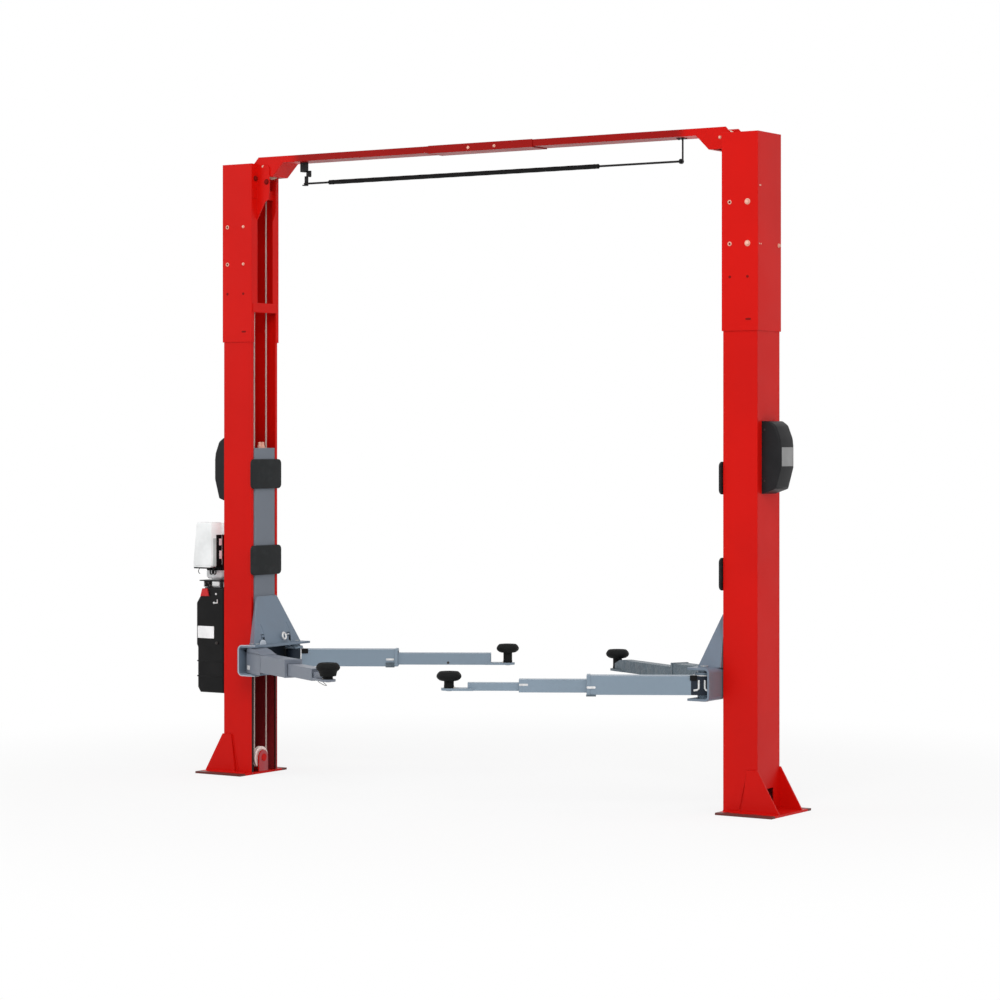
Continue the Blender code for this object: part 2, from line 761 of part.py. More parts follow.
def equaliser_rope():
    """The equaliser rope as one loop: along the beam, down each post and round both base sheaves."""
    sheave_x = ROPE_X + TOP_SHEAVE_PITCH
    top = top_sheave_height()
    corner = arc((sheave_x, top), TOP_SHEAVE_PITCH, 90, 180, 4)
    foot = arc((0.0, BASE_SHEAVE_Z), ROPE_HALF_SPACING, 180, 360, 10)
    down = [(x, -ROPE_HALF_SPACING, z) for x, z in corner]
    round_foot = [(ROPE_X, y, z) for y, z in foot]
    up = [(x, ROPE_HALF_SPACING, z) for x, z in reversed(corner)]
    left = down + round_foot + up
    right = [(POST_SPACING - x, -y, z) for x, y, z in left]
    path = [Vector(point) for point in left + right]
    count = len(path)
    shape = bmesh.new()
    rings = []
    normal = Vector((0.0, 1.0, 0.0))
    for k, point in enumerate(path):
        before = (point - path[k - 1]).normalized()
        after = (path[(k + 1) % count] - point).normalized()
        tangent = (before + after).normalized()
        normal = (normal - normal.dot(tangent) * tangent).normalized()
        across = tangent.cross(normal)
        ring = []
        for step in range(ROPE_SIDES):
            turn = 2 * math.pi * step / ROPE_SIDES
            offset = normal * math.cos(turn) + across * math.sin(turn)
            ring.append(shape.verts.new(point + ROPE_RADIUS * offset))
        rings.append(ring)
    first = rings[0]
    last_normal = (rings[-1][0].co - path[-1]).normalized()
    shift = min(
        range(ROPE_SIDES), key=lambda s: (first[s].co - path[0]).normalized().angle(last_normal)
    )
    closing = first[shift:] + first[:shift]
    for k in range(count):
        ring = rings[k]
        following = rings[k + 1] if k + 1 < count else closing
        for step in range(ROPE_SIDES):
            after = (step + 1) % ROPE_SIDES
            shape.faces.new((ring[step], ring[after], following[after], following[step]))
    return finish("equaliser_rope", shape, wire_rope(), smooth_angle=60.0)


def cylinder_barrel(side, post):
    """The barrel of the lifting cylinder, which stands on the base plate against the web."""
    x = MOUTH - CYLINDER_INSET
    foot_top = FLOOR_TOP + CYLINDER_FOOT_HEIGHT
    gland_low = CYLINDER_TOP - GLAND_LENGTH
    profile = [
        (FLOOR_TOP, 0.0),
        (FLOOR_TOP, CYLINDER_RADIUS + CYLINDER_FOOT_PROUD),
        (foot_top, CYLINDER_RADIUS + CYLINDER_FOOT_PROUD),
        (foot_top, CYLINDER_RADIUS),
        (gland_low, CYLINDER_RADIUS),
        (gland_low, CYLINDER_RADIUS + GLAND_PROUD),
        (CYLINDER_TOP, CYLINDER_RADIUS + GLAND_PROUD),
        (CYLINDER_TOP, ROD_RADIUS + GLAND_CLEARANCE),
        (CYLINDER_TOP - GLAND_DEPTH, ROD_RADIUS + GLAND_CLEARANCE),
        (CYLINDER_TOP - GLAND_DEPTH, CYLINDER_BORE),
        (FLOOR_TOP + CYLINDER_FLOOR, CYLINDER_BORE),
        (FLOOR_TOP + CYLINDER_FLOOR, 0.0),
    ]
    shape = turned(profile, "Z", (x, 0.0, 0.0), CYLINDER_SIDES)
    return finish(f"{side}_cylinder", shape, black_paint(), post)


def cylinder_rod(side, carriage):
    """The chromed rod, which pushes on the underside of the carriage's top plate."""
    x = MOUTH - CYLINDER_INSET
    high = CARRIAGE_TOP - CARRIAGE_WALL - GAP
    shape = rod(ROD_RADIUS, "Z", (x, 0.0), high - ROD_LENGTH, high)
    return finish(f"{side}_cylinder_rod", shape, bare_steel(), carriage)


def carriage_body(side, carriage):
    """The carriage: a square tube in the post, its slide blocks, the flared bracket and the yoke."""
    front = CARRIAGE_FACE
    rear = MOUTH - CARRIAGE_REAR
    depth = front - rear
    middle = (front + rear) / 2
    wall = CARRIAGE_WALL
    section = rounded(depth, 2 * CARRIAGE_HALF, CARRIAGE_CORNER, (middle, 0.0))
    tube = prism(section, "Z", CARRIAGE_BOTTOM, CARRIAGE_TOP)
    hollow = box(
        (rear + wall, -CARRIAGE_HALF + wall, CARRIAGE_BOTTOM - 0.01),
        (front - wall, CARRIAGE_HALF - wall, CARRIAGE_TOP - wall),
    )
    rope_holes = [
        rod(
            ROPE_RADIUS + CLEAR,
            "Z",
            (ROPE_X, sign * ROPE_HALF_SPACING),
            CARRIAGE_TOP - 2 * CARRIAGE_WALL,
            CARRIAGE_TOP + CARRIAGE_WALL,
            12,
        )
        for sign in (-1, 1)
    ]
    slider_face = POST_WIDTH / 2 - POST_WALL - RUNNING
    slider_front = MOUTH - POST_WALL - RUNNING
    sliders = []
    for sign in (-1, 1):
        for low in (CARRIAGE_BOTTOM + SLIDER_INSET, CARRIAGE_TOP - SLIDER_INSET - SLIDER_LENGTH):
            corners = sorted((sign * (CARRIAGE_HALF - wall / 2), sign * slider_face))
            start = (rear + CARRIAGE_CORNER, corners[0], low)
            sliders.append(box(start, (slider_front, corners[1], low + SLIDER_LENGTH)))
    yoke = prism(yoke_outline(), "Y", -YOKE_HALF, YOKE_HALF)
    pins = []
    lock_holes = []
    for sign in (-1, 1):
        place = (PIVOT_X, sign * PIVOT_HALF)
        pins.append(rod(PIN_RADIUS, "Z", place, YOKE_BOTTOM - 0.004, YOKE_TOP + 0.004, 20))
        pins.append(rod(PIN_CAP_RADIUS, "Z", place, YOKE_TOP - 0.002, YOKE_TOP + PIN_CAP_HEIGHT, 20))
        lock_place = (PIVOT_X, sign * lock_rod_y())
        lock_bore = LOCK_ROD_RADIUS + GAP
        lock_holes.append(rod(lock_bore, "Z", lock_place, YOKE_CEILING - 0.01, YOKE_TOP + 0.01, 12))
        lock_holes.append(rod(FLARE_SLOT_RADIUS, "Z", lock_place, YOKE_TOP + 0.0001, FLARE_TOP, 12))
    shape = combined(tube, sliders, [hollow] + rope_holes)
    shell = combined(flare_hull(0.0), cut=[flare_hull(FLARE_WALL)])
    shape = combined(shape, [yoke, shell] + pins, lock_holes)
    return finish(f"{side}_carriage", shape, grey_paint(), carriage)


def yoke_outline():
    """The section of the yoke, a C that opens into the bay and is bent round at its back corners."""
    back = MOUTH + YOKE_STANDOFF
    front = MOUTH + YOKE_REACH
    bend = back + YOKE_CORNER
    inner = YOKE_CORNER - YOKE_PLATE
    outside = arc((bend, YOKE_TOP - YOKE_CORNER), YOKE_CORNER, 90, 180, 4)
    outside += arc((bend, YOKE_BOTTOM + YOKE_CORNER), YOKE_CORNER, 180, 270, 4)
    inside = arc((bend, YOKE_BOTTOM + YOKE_CORNER), inner, 270, 180, 4)
    inside += arc((bend, YOKE_TOP - YOKE_CORNER), inner, 180, 90, 4)
    lower_edge = [(front, YOKE_BOTTOM), (front, YOKE_FLOOR)]
    upper_edge = [(front, YOKE_CEILING), (front, YOKE_TOP)]
    return outside + lower_edge + inside + upper_edge


def flare_hull(wall):
    """The flared bracket between the tube's face and the yoke's top plate, shrunk by a wall.

    Its hollow is open downwards, and the yoke's top plate closes it.
    """
    back = MOUTH + YOKE_STANDOFF - 0.002 + wall
    foot = YOKE_TOP - 0.004 - wall
    foot_reach = MOUTH + FLARE_FOOT_REACH - wall
    top_reach = CARRIAGE_FACE + FLARE_TOP_REACH - wall
    top_half = CARRIAGE_HALF - 0.003 - wall
    rows = (
        (foot, back, FLARE_BACK_HALF - wall, foot_reach, FLARE_FOOT_HALF - 1.5 * wall),
        (FLARE_TOP - 2 * wall, back, top_half, max(top_reach, back + 0.001), top_half),
    )
    shape = bmesh.new()
    loops = []
    for z, x0, y0, x1, y1 in rows:
        loops.append([shape.verts.new(p) for p in ((x0, -y0, z), (x1, -y1, z), (x1, y1, z), (x0, y0, z))])
    for k in range(4):
        after = (k + 1) % 4
        shape.faces.new((loops[0][k], loops[0][after], loops[1][after], loops[1][k]))
    shape.faces.new(list(reversed(loops[0])))
    shape.faces.new(loops[1])
    bmesh.ops.recalc_face_normals(shape, faces=shape.faces)
    return shape


def guard(side, label, top, carriage):
    """A rubber guard on the carriage's face, which a car's door may touch."""
    face = CARRIAGE_FACE + GAP
    outline = rounded(2 * GUARD_HALF, GUARD_HEIGHT, GUARD_CORNER, (0.0, top - GUARD_HEIGHT / 2))
    shape = prism(outline, "X", face, face + GUARD_THICKNESS)
    return finish(f"{side}_guard_{label}", shape, black_rubber(), carriage)


def lock_rod_y():
    """The distance of a restraint's rod from the carriage's middle plane."""
    return PIVOT_HALF - TOOTH_TIP - LOCK_BLOCK_DEPTH / 2


def tooth_outline(first, count, root, tip):
    """Points of a row of teeth round the origin, angles in degrees."""
    points = []
    for k in range(count):
        centre = first + k * TOOTH_PITCH_DEG
        for offset, radius in ((-0.42, root), (-0.16, tip), (0.16, tip), (0.42, root)):
            turn = math.radians(centre + offset * TOOTH_PITCH_DEG)
            points.append((radius * math.cos(turn), radius * math.sin(turn)))
    return points


def arm_restraint(arm, carriage):
    """The toothed block that locks an arm, with its lifting rod, drawn in the released position."""
    sign = arm.side
    centre_angle = -90.0 * sign
    block_low = SECTOR_BOTTOM + LOCK_LIFT
    block_high = block_low + SECTOR_THICKNESS
    teeth = []
    half = LOCK_TEETH / 2
    for k in range(LOCK_TEETH):
        gap_centre = centre_angle + (k - (LOCK_TEETH - 1) / 2) * TOOTH_PITCH_DEG
        offsets = ((-0.5, TOOTH_TIP + 0.0006), (-0.26, TOOTH_TIP + 0.0006), (-0.08, TOOTH_ROOT + 0.001))
        mirrored = tuple((-offset, radius) for offset, radius in reversed(offsets))
        for offset, radius in offsets + mirrored:
            turn = math.radians(gap_centre + offset * TOOTH_PITCH_DEG)
            teeth.append((radius * math.cos(turn), radius * math.sin(turn)))
    edge = half * TOOTH_PITCH_DEG
    back = TOOTH_TIP + LOCK_BLOCK_DEPTH
    for turn_deg in (centre_angle + edge, centre_angle - edge):
        turn = math.radians(turn_deg)
        teeth.append((back * math.cos(turn), back * math.sin(turn)))
    cleaned = []
    for point in teeth:
        if not cleaned or (Vector(point) - Vector(cleaned[-1])).length > 1e-5:
            cleaned.append(point)
    shift = [(PIVOT_X + x, sign * PIVOT_HALF + y) for x, y in cleaned]
    block = prism(shift, "Z", block_low, block_high)
    rod_place = (PIVOT_X, sign * lock_rod_y())
    top = YOKE_TOP + LOCK_ROD_RISE
    stem = rod(LOCK_ROD_RADIUS, "Z", rod_place, block_low + 0.004, top, 12)
    head = rod(LOCK_HEAD_RADIUS, "Z", rod_place, top - 0.008, top + 0.004, 12)
    return finish(f"{arm.name}_arm_restraint", combined(block, [stem, head]), bare_steel(), carriage)


def arm_outer(arm, pivot):
    """The first stage: a square tube on a round head with a toothed sector."""
    half = ARM_WIDTH / 2
    high = ARM_BOTTOM + ARM_HEIGHT
    outline = arc((0.0, 0.0), half, 90, 270, 10) + [(ARM_LENGTH, -half), (ARM_LENGTH, half)]
    tube = prism(outline, "Z", ARM_BOTTOM, high)
    head = rod(ARM_HEAD_RADIUS, "Z", (0.0, 0.0), YOKE_FLOOR + GAP, YOKE_CEILING - GAP, 16)
    lock_direction = -90.0 * arm.side - arm.side * arm.angle
    first = lock_direction - arm.side * 0.5 * TOOTH_PITCH_DEG
    before = SECTOR_LOW_TEETH if arm.side > 0 else SECTOR_TEETH - 1 - SECTOR_LOW_TEETH
    start = first - before * TOOTH_PITCH_DEG
    teeth = tooth_outline(start, SECTOR_TEETH, TOOTH_ROOT, TOOTH_TIP)
    end = start + (SECTOR_TEETH - 1) * TOOTH_PITCH_DEG + 0.5 * TOOTH_PITCH_DEG
    rest_arc = arc((0.0, 0.0), TOOTH_ROOT, end, start + 360 - 0.5 * TOOTH_PITCH_DEG, 10)
    sector = prism(teeth + rest_arc, "Z", SECTOR_BOTTOM, SECTOR_BOTTOM + SECTOR_THICKNESS)
    cavity = box(
        (ARM_CAVITY_START, -half + ARM_WALL, ARM_BOTTOM + ARM_WALL),
        (ARM_LENGTH + 0.01, half - ARM_WALL, high - ARM_WALL),
    )
    bore = rod(PIN_RADIUS + RUNNING, "Z", (0.0, 0.0), YOKE_FLOOR - 0.01, YOKE_CEILING + 0.01, 20)
    shape = combined(tube, [head, sector], [cavity, bore])
    return finish(f"{arm.name}_arm_outer", shape, arm_paint(), pivot)


def pad_holder(front, bottom, pad_x):
    """The thin plate past a stage's end, with a round end under the pad."""
    width = 2 * HOLDER_RADIUS
    plate = box((front - HOLDER_ROOT, -width / 2, bottom), (pad_x, width / 2, bottom + HOLDER_THICKNESS))
    end = rod(HOLDER_RADIUS, "Z", (pad_x, 0.0), bottom, bottom + HOLDER_THICKNESS, 24)
    hole = rod(PAD_STEM_RADIUS + GAP, "Z", (pad_x, 0.0), bottom - 0.01, bottom + HOLDER_THICKNESS + 0.01, 24)
    return plate, end, hole


def arm_second(arm, pivot):
    """The second stage, a tube that slides in the first. On a rear arm it ends in the pad holder."""
    length = FRONT_SECOND_LENGTH if arm.stages == 3 else REAR_SECOND_LENGTH
    rear = arm.second_front - length
    half = SECOND_WIDTH / 2
    high = SECOND_BOTTOM + SECOND_HEIGHT
    tube = box((rear, -half, SECOND_BOTTOM), (arm.second_front, half, high))
    ceiling = ARM_BOTTOM + ARM_HEIGHT - ARM_WALL - RUNNING
    guide_half = half - GUIDE_INSET
    guide = box((rear, -guide_half, high - 2 * EMBED), (rear + GUIDE_LENGTH, guide_half, ceiling))
    cavity = box(
        (rear + 0.010, -half + SECOND_WALL, SECOND_BOTTOM + SECOND_WALL),
        (arm.second_front + 0.01, half - SECOND_WALL, high - SECOND_WALL),
    )
    added, cut = [guide], [cavity]
    if arm.stages == 2:
        plate, end, hole = pad_holder(arm.second_front, SECOND_BOTTOM, arm.pad_distance)
        shape = combined(tube, added, cut)
        shape = combined(shape, [plate, end], [hole])
    else:
        shape = combined(tube, added, cut)
    label = "middle" if arm.stages == 3 else "inner"
    return finish(f"{arm.name}_arm_{label}", shape, arm_paint(), pivot)


def arm_third(arm, pivot):
    """The third stage of a front arm, a solid bar that ends in the pad holder."""
    rear = arm.third_front - FRONT_THIRD_LENGTH
    half = THIRD_WIDTH / 2
    high = THIRD_BOTTOM + THIRD_HEIGHT
    bar = box((rear, -half, THIRD_BOTTOM), (arm.third_front, half, high))
    ceiling = SECOND_BOTTOM + SECOND_HEIGHT - SECOND_WALL - RUNNING
    guide_half = half - GUIDE_INSET
    guide = box((rear, -guide_half, high - 2 * EMBED), (rear + GUIDE_LENGTH, guide_half, ceiling))
    plate, end, hole = pad_holder(arm.third_front, THIRD_BOTTOM, arm.pad_distance)
    return finish(f"{arm.name}_arm_inner", combined(bar, [guide, plate, end], [hole]), arm_paint(), pivot)


def pad(arm, pivot):
    """A rubber lifting pad on its neck, whose stem drops into the holder."""
    holder_bottom = THIRD_BOTTOM if arm.stages == 3 else SECOND_BOTTOM
    seat = holder_bottom + HOLDER_THICKNESS + GAP
    stem_end = holder_bottom - PAD_STEM_BELOW
    under = PAD_TOP - PAD_THICKNESS
    profile = [
        (stem_end, 0.0),
        (stem_end, PAD_STEM_RADIUS),
        (seat, PAD_STEM_RADIUS),
        (seat, PAD_NECK_RADIUS),
        (under, PAD_NECK_RADIUS),
        (under + 0.002, PAD_RADIUS - 0.016),
        (under + 0.009, PAD_RADIUS - 0.004),
        (under + 0.018, PAD_RADIUS),
        (PAD_TOP - 0.012, PAD_RADIUS - 0.002),
        (PAD_TOP - 0.004, PAD_RADIUS - 0.012),
        (PAD_TOP, PAD_RADIUS - 0.030),
        (PAD_TOP, 0.0),
    ]
    shape = turned(profile, "Z", (arm.pad_distance, 0.0, 0.0), PAD_SIDES)
    return finish(f"{arm.name}_pad", shape, black_rubber(), pivot)


def lock_cover(side, top, post):
    """The moulded cover over a post's safety lock, on the outer face of the web."""
    face = WEB - GAP
    reach = COVER_REACH
    height = COVER_HEIGHT
    outline = (
        (face, top),
        (face - 0.42 * reach, top),
        (face - 0.72 * reach, top - 0.06 * height),
        (face - 0.96 * reach, top - 0.24 * height),
        (face - reach, top - 0.34 * height),
        (face - reach, top - 0.64 * height),
        (face - 0.72 * reach, top - 0.93 * height),
        (face, top - height),
    )
    shape = prism(outline, "Y", -COVER_HALF, COVER_HALF)
    edges = [edge for edge in shape.edges if all(vert.co.x < face - 0.001 for vert in edge.verts)]
    sides = [edge for edge in edges if abs(edge.verts[0].co.y - edge.verts[1].co.y) < 1e-6]
    bmesh.ops.bevel(shape, geom=sides, offset=0.010, segments=2, profile=0.5, affect="EDGES", material=-1)
    return finish(f"{side}_lock_cover", shape, black_plastic(), post)


def oil_tank(post):
    """The oil tank, a deep moulded box with a sloping shoulder."""
    near = WEB - UNIT_BRACKET
    far = WEB - TANK_REACH
    lower = far + TANK_STEP
    outline = (
        (near, TANK_BOTTOM + 0.010),
        (near, TANK_TOP),
        (far + TANK_SHOULDER_RUN, TANK_TOP),
        (far, TANK_TOP - TANK_SHOULDER_DROP),
        (far, TANK_STEP_Z + 2 * TANK_STEP),
        (lower, TANK_STEP_Z),
        (lower, TANK_BOTTOM + 0.030),
        (lower + 0.020, TANK_BOTTOM),
        (near - 0.010, TANK_BOTTOM),
    )
    shape = prism(outline, "Y", -TANK_HALF, TANK_HALF)
    edges = [edge for edge in shape.edges if abs(edge.verts[0].co.y - edge.verts[1].co.y) < 1e-6]
    bmesh.ops.bevel(shape, geom=edges, offset=0.012, segments=3, profile=0.5, affect="EDGES", material=-1)
    return finish("oil_tank", shape, black_plastic(), post)


def pump_block(post):
    """The valve block between tank and motor, with the bracket that bolts to the web."""
    near = WEB - GAP
    axis_x = motor_place()
    low = TANK_TOP + GAP
    high = low + PUMP_HEIGHT
    length, width = PUMP_SIZE
    thickness, plate_width, overrun = PUMP_PLATE
    arm_half = PUMP_ARM_WIDTH / 2
    block = box((axis_x - length / 2, -width / 2, low), (axis_x + length / 2, width / 2, high))
    arm = box((axis_x, -arm_half, low + CLEAR), (near - thickness / 2, arm_half, high - CLEAR))
    plate = box((near - thickness, -plate_width / 2, low - overrun), (near, plate_width / 2, high + overrun))
    collar = rod(PUMP_COLLAR_RADIUS, "Z", (axis_x, 0.0), high - EMBED, high + PUMP_COLLAR_HEIGHT, 24)
    return finish("pump_block", combined(block, [arm, plate, collar]), cast_metal(), post)


def motor_place():
    """The distance of the motor's axis from the post's."""
    return WEB - TANK_REACH / 2 - UNIT_BRACKET / 2


def motor(post):
    """The electric motor that stands on the valve block, with cooling fins between its end bells."""
    low = TANK_TOP + 2 * GAP + PUMP_HEIGHT + PUMP_COLLAR_HEIGHT
    radius = MOTOR_RADIUS
    inner = radius - MOTOR_FIN_DEPTH
    fins_low = low + MOTOR_BELL_HEIGHT
    fins_high = MOTOR_TOP - MOTOR_COWL_HEIGHT
    profile = [
        (low, 0.0),
        (low, radius - 0.012),
        (low + 0.012, radius),
        (fins_low, radius),
        (fins_low, inner),
        (fins_high, inner),
        (fins_high, radius),
        (MOTOR_TOP - 0.018, radius),
        (MOTOR_TOP, radius - 0.022),
        (MOTOR_TOP, 0.0),
    ]
    axis = (motor_place(), 0.0)
    bells = turned(profile, "Z", (*axis, 0.0), MOTOR_SIDES)
    pitch = 2 * math.pi / MOTOR_FINS
    outline = []
    for k in range(MOTOR_FINS):
        for share, reach in ((-0.34, inner), (-0.16, radius), (0.16, radius), (0.34, inner)):
            turn = (k + share) * pitch
            reach -= 0.001
            outline.append((axis[0] + reach * math.cos(turn), reach * math.sin(turn)))
    fins = prism(outline, "Z", fins_low - 0.002, fins_high + 0.002)
    return finish("motor", combined(bells, [fins]), black_paint(), post)


def terminal_box(post):
    """The white moulded cover on the motor's front, over its switch gear.

    It narrows upwards on its outer side, and its side towards the post slants back to the motor.
    """
    back = -MOTOR_RADIUS - GAP
    front = back - TERMINAL_BOX_DEPTH
    right = motor_place() + TERMINAL_BOX_WIDTH / 2 - TERMINAL_BOX_INSET
    left = right - TERMINAL_BOX_WIDTH
    low = TERMINAL_BOX_TOP - TERMINAL_BOX_HEIGHT
    outline = (
        (left, low),
        (right, low),
        (right, TERMINAL_BOX_TOP),
        (left + TERMINAL_BOX_TAPER, TERMINAL_BOX_TOP),
    )
    shape = prism(outline, "Y", front, back)
    corners = [edge for edge in shape.edges if abs(edge.verts[0].co.y - edge.verts[1].co.y) > 1e-6]
    bmesh.ops.bevel(shape, geom=corners, offset=0.016, segments=3, profile=0.5, affect="EDGES", material=-1)
    for vert in shape.verts:
        if vert.co.y < front + 1e-6:
            vert.co.x -= TERMINAL_BOX_SLANT * (vert.co.x - left) / TERMINAL_BOX_WIDTH
    rim = [edge for edge in shape.edges if all(vert.co.y < front + 1e-6 for vert in edge.verts)]
    bmesh.ops.bevel(shape, geom=rim, offset=0.007, segments=2, profile=0.5, affect="EDGES", material=-1)
    return finish("motor_terminal_box", shape, white_plastic(), post)


def stop_bar():
    """The thin bar under the beam that a tall roof lifts, hinged at its right end."""
    eye = rod(EYE_RADIUS, "Y", (BAR_RIGHT, BAR_Z), -EYE_WIDTH / 2, EYE_WIDTH / 2, 24)
    bore = rod(HANGER_RADIUS + GAP, "Y", (BAR_RIGHT, BAR_Z), -EYE_WIDTH, EYE_WIDTH, 16)
    shaft = rod(BAR_RADIUS, "X", (0.0, BAR_Z), BAR_LEFT, BAR_RIGHT - 0.008, 16)
    return finish("stop_bar", combined(shaft, [eye], [bore]), black_paint())


def stop_bar_sleeve():
    """The foam sleeve over the middle of the bar."""
    profile = [
        (SLEEVE_LEFT, BAR_RADIUS + GAP),
        (SLEEVE_LEFT, SLEEVE_RADIUS - 0.003),
        (SLEEVE_LEFT + 0.003, SLEEVE_RADIUS),
        (SLEEVE_RIGHT - 0.003, SLEEVE_RADIUS),
        (SLEEVE_RIGHT, SLEEVE_RADIUS - 0.003),
        (SLEEVE_RIGHT, BAR_RADIUS + GAP),
    ]
    return finish("stop_bar_sleeve", turned(profile, "X", (0.0, 0.0, BAR_Z), 16), black_rubber())


def stop_bar_hanger():
    """The rod that hangs from the beam and carries the bar's pivot pin."""
    high = SLEEVE_TOP
    y = HANGER_OFFSET
    length, width, thickness = HANGER_FLANGE
    flange_low = (BAR_RIGHT - length / 2, -0.4 * width, high - thickness)
    flange = box(flange_low, (BAR_RIGHT + length / 2, 0.6 * width, high))
    drop = rod(HANGER_RADIUS, "Z", (BAR_RIGHT, y), BAR_Z - 1.6 * HANGER_RADIUS, high - EMBED, 16)
    pin = rod(HANGER_RADIUS, "Y", (BAR_RIGHT, BAR_Z), -2 * HANGER_RADIUS, y + EMBED, 16)
    return finish("stop_bar_hanger", combined(flange, [drop, pin]), black_paint())


def stop_switch():
    """The limit switch on the beam's underside: its body, its lever, and the hook for the bar's end."""
    high = SLEEVE_TOP
    body_low = (BAR_LEFT - SWITCH_LENGTH / 2, -SWITCH_WIDTH / 2, high - SWITCH_HEIGHT)
    body = box(body_low, (BAR_LEFT + SWITCH_LENGTH / 2, SWITCH_WIDTH / 2, high))
    lever_low = high - SWITCH_HEIGHT - SWITCH_LEVER_DROP
    lever_end = BAR_LEFT + SWITCH_LEVER_REACH
    lever = box((BAR_LEFT + 0.008, 0.008, lever_low), (lever_end, 0.019, high - SWITCH_HEIGHT + 0.008))
    hook_low = BAR_Z - BAR_RADIUS - GAP - HOOK_THICKNESS
    hook_end = BAR_LEFT + HOOK_LENGTH
    strap = box((BAR_LEFT - 0.006, 0.010, hook_low), (hook_end, 0.010 + HOOK_THICKNESS, lever_low + 0.004))
    shelf_top = hook_low + HOOK_THICKNESS
    shelf = box((BAR_LEFT - 0.006, -0.012, hook_low), (hook_end, 0.010 + HOOK_THICKNESS, shelf_top))
    return finish("stop_switch", combined(body, [lever, strap, shelf]), black_plastic())


def build_post(side, post, cover_top):
    base(side, post)
    column(side, post)
    extension(side, post)
    beam_half(side, post)
    top_sheaves(side, post)
    base_sheave(side, post)
    cylinder_barrel(side, post)
    lock_cover(side, cover_top, post)


def build_carriage(side, post):
    carriage = empty(f"{side}_carriage_slide", (0.0, 0.0, 0.0), post)
    carriage_body(side, carriage)
    cylinder_rod(side, carriage)
    for label, drop in zip(("upper", "lower"), GUARD_DROPS):
        guard(side, label, CARRIAGE_TOP - drop, carriage)
    for arm in ARMS:
        if arm.post == side:
            build_arm(arm, carriage)


def build_arm(arm, carriage):
    arm_restraint(arm, carriage)
    place = (PIVOT_X, arm.side * PIVOT_HALF, 0.0)
    pivot = empty(f"{arm.name}_arm_pivot", place, carriage, math.radians(arm.side * arm.angle))
    arm_outer(arm, pivot)
    arm_second(arm, pivot)
    if arm.stages == 3:
        arm_third(arm, pivot)
    pad(arm, pivot)


def main():
    clear_scene()
    left_post = empty("left_post", (0.0, 0.0, 0.0))
    right_post = empty("right_post", (POST_SPACING, 0.0, 0.0), angle=math.pi)
    build_post("left", left_post, LEFT_COVER_TOP)
    build_post("right", right_post, RIGHT_COVER_TOP)
    build_carriage("left", left_post)
    build_carriage("right", right_post)
    beam_splice()
    equaliser_rope()
    oil_tank(left_post)
    pump_block(left_post)
    motor(left_post)
    terminal_box(left_post)
    stop_bar()
    stop_bar_sleeve()
    stop_bar_hanger()
    stop_switch()


main()
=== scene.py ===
"""Looks of a two post car lift: finishes, small parts, studio light and camera.

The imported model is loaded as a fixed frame, in metres, with +Z up. The origin is on the floor under
the left post, and +X runs to the right post. Graph and the finishes draw the shaders, Form makes the
meshes and Studio the surroundings. Each class after those dresses one sub-assembly: it gives the nodes
their finishes and adds the pieces that the plain solids lack. Every new piece is modelled in place and
rides on a body.
"""

from __future__ import annotations

import logging
import math
from dataclasses import dataclass
from enum import Enum
from typing import Iterable, Sequence

import bmesh
import bpy
from mathutils import Matrix, Vector


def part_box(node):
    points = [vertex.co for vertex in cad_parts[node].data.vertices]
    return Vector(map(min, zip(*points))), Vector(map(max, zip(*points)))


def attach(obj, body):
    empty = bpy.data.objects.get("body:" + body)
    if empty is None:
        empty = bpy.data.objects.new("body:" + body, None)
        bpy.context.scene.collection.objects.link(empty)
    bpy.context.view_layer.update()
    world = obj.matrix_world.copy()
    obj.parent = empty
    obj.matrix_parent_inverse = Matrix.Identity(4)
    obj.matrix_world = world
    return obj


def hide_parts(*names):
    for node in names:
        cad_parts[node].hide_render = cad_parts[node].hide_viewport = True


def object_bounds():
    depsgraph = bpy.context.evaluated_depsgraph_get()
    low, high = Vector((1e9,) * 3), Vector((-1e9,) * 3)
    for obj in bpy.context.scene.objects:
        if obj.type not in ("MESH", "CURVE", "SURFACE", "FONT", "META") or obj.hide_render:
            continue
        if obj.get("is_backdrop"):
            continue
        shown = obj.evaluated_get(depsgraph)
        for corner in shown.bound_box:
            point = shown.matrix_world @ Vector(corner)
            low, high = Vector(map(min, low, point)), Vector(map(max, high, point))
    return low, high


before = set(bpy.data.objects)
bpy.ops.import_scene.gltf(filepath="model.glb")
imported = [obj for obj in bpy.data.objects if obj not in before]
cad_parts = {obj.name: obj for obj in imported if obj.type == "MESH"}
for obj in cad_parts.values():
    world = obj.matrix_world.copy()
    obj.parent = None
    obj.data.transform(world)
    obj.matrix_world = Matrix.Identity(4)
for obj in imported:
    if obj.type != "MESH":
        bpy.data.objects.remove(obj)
CAD_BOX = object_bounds()

log = logging.getLogger("lift")

Point = Sequence[float]
Input = "Signal | float | tuple[float, ...]"

X_AXIS, Y_AXIS, Z_AXIS = (1, 0, 0), (0, 1, 0), (0, 0, 1)
# The way from the lift to its front
FRONTWARDS = (0, -1, 0)
# Distance between the posts' axes, and the middle between them along X
POST_SPACING = 3.366
MIDDLE = POST_SPACING / 2
# Place of an arm's pin along and across a post's own frame
PIVOT = (0.1825, 0.190)
# Underside and top of an arm's outer stage, and the place along the arm where its mouth lies
OUTER_LOW, OUTER_HIGH, OUTER_END = 0.6283, 0.7283, 0.620
# Half the widths of the faces of an arm's outer stage and of the next one
OUTER_HALF, NEXT_HALF = 0.050, 0.037
# Upper faces of the pads' holders
FRONT_HOLDER, REAR_HOLDER = 0.6576, 0.6503
# Height of the underside of a pad's rubber
PAD_CUP = 0.7085
# Width over which one coat goes over to the next
COAT_EDGE = 0.001
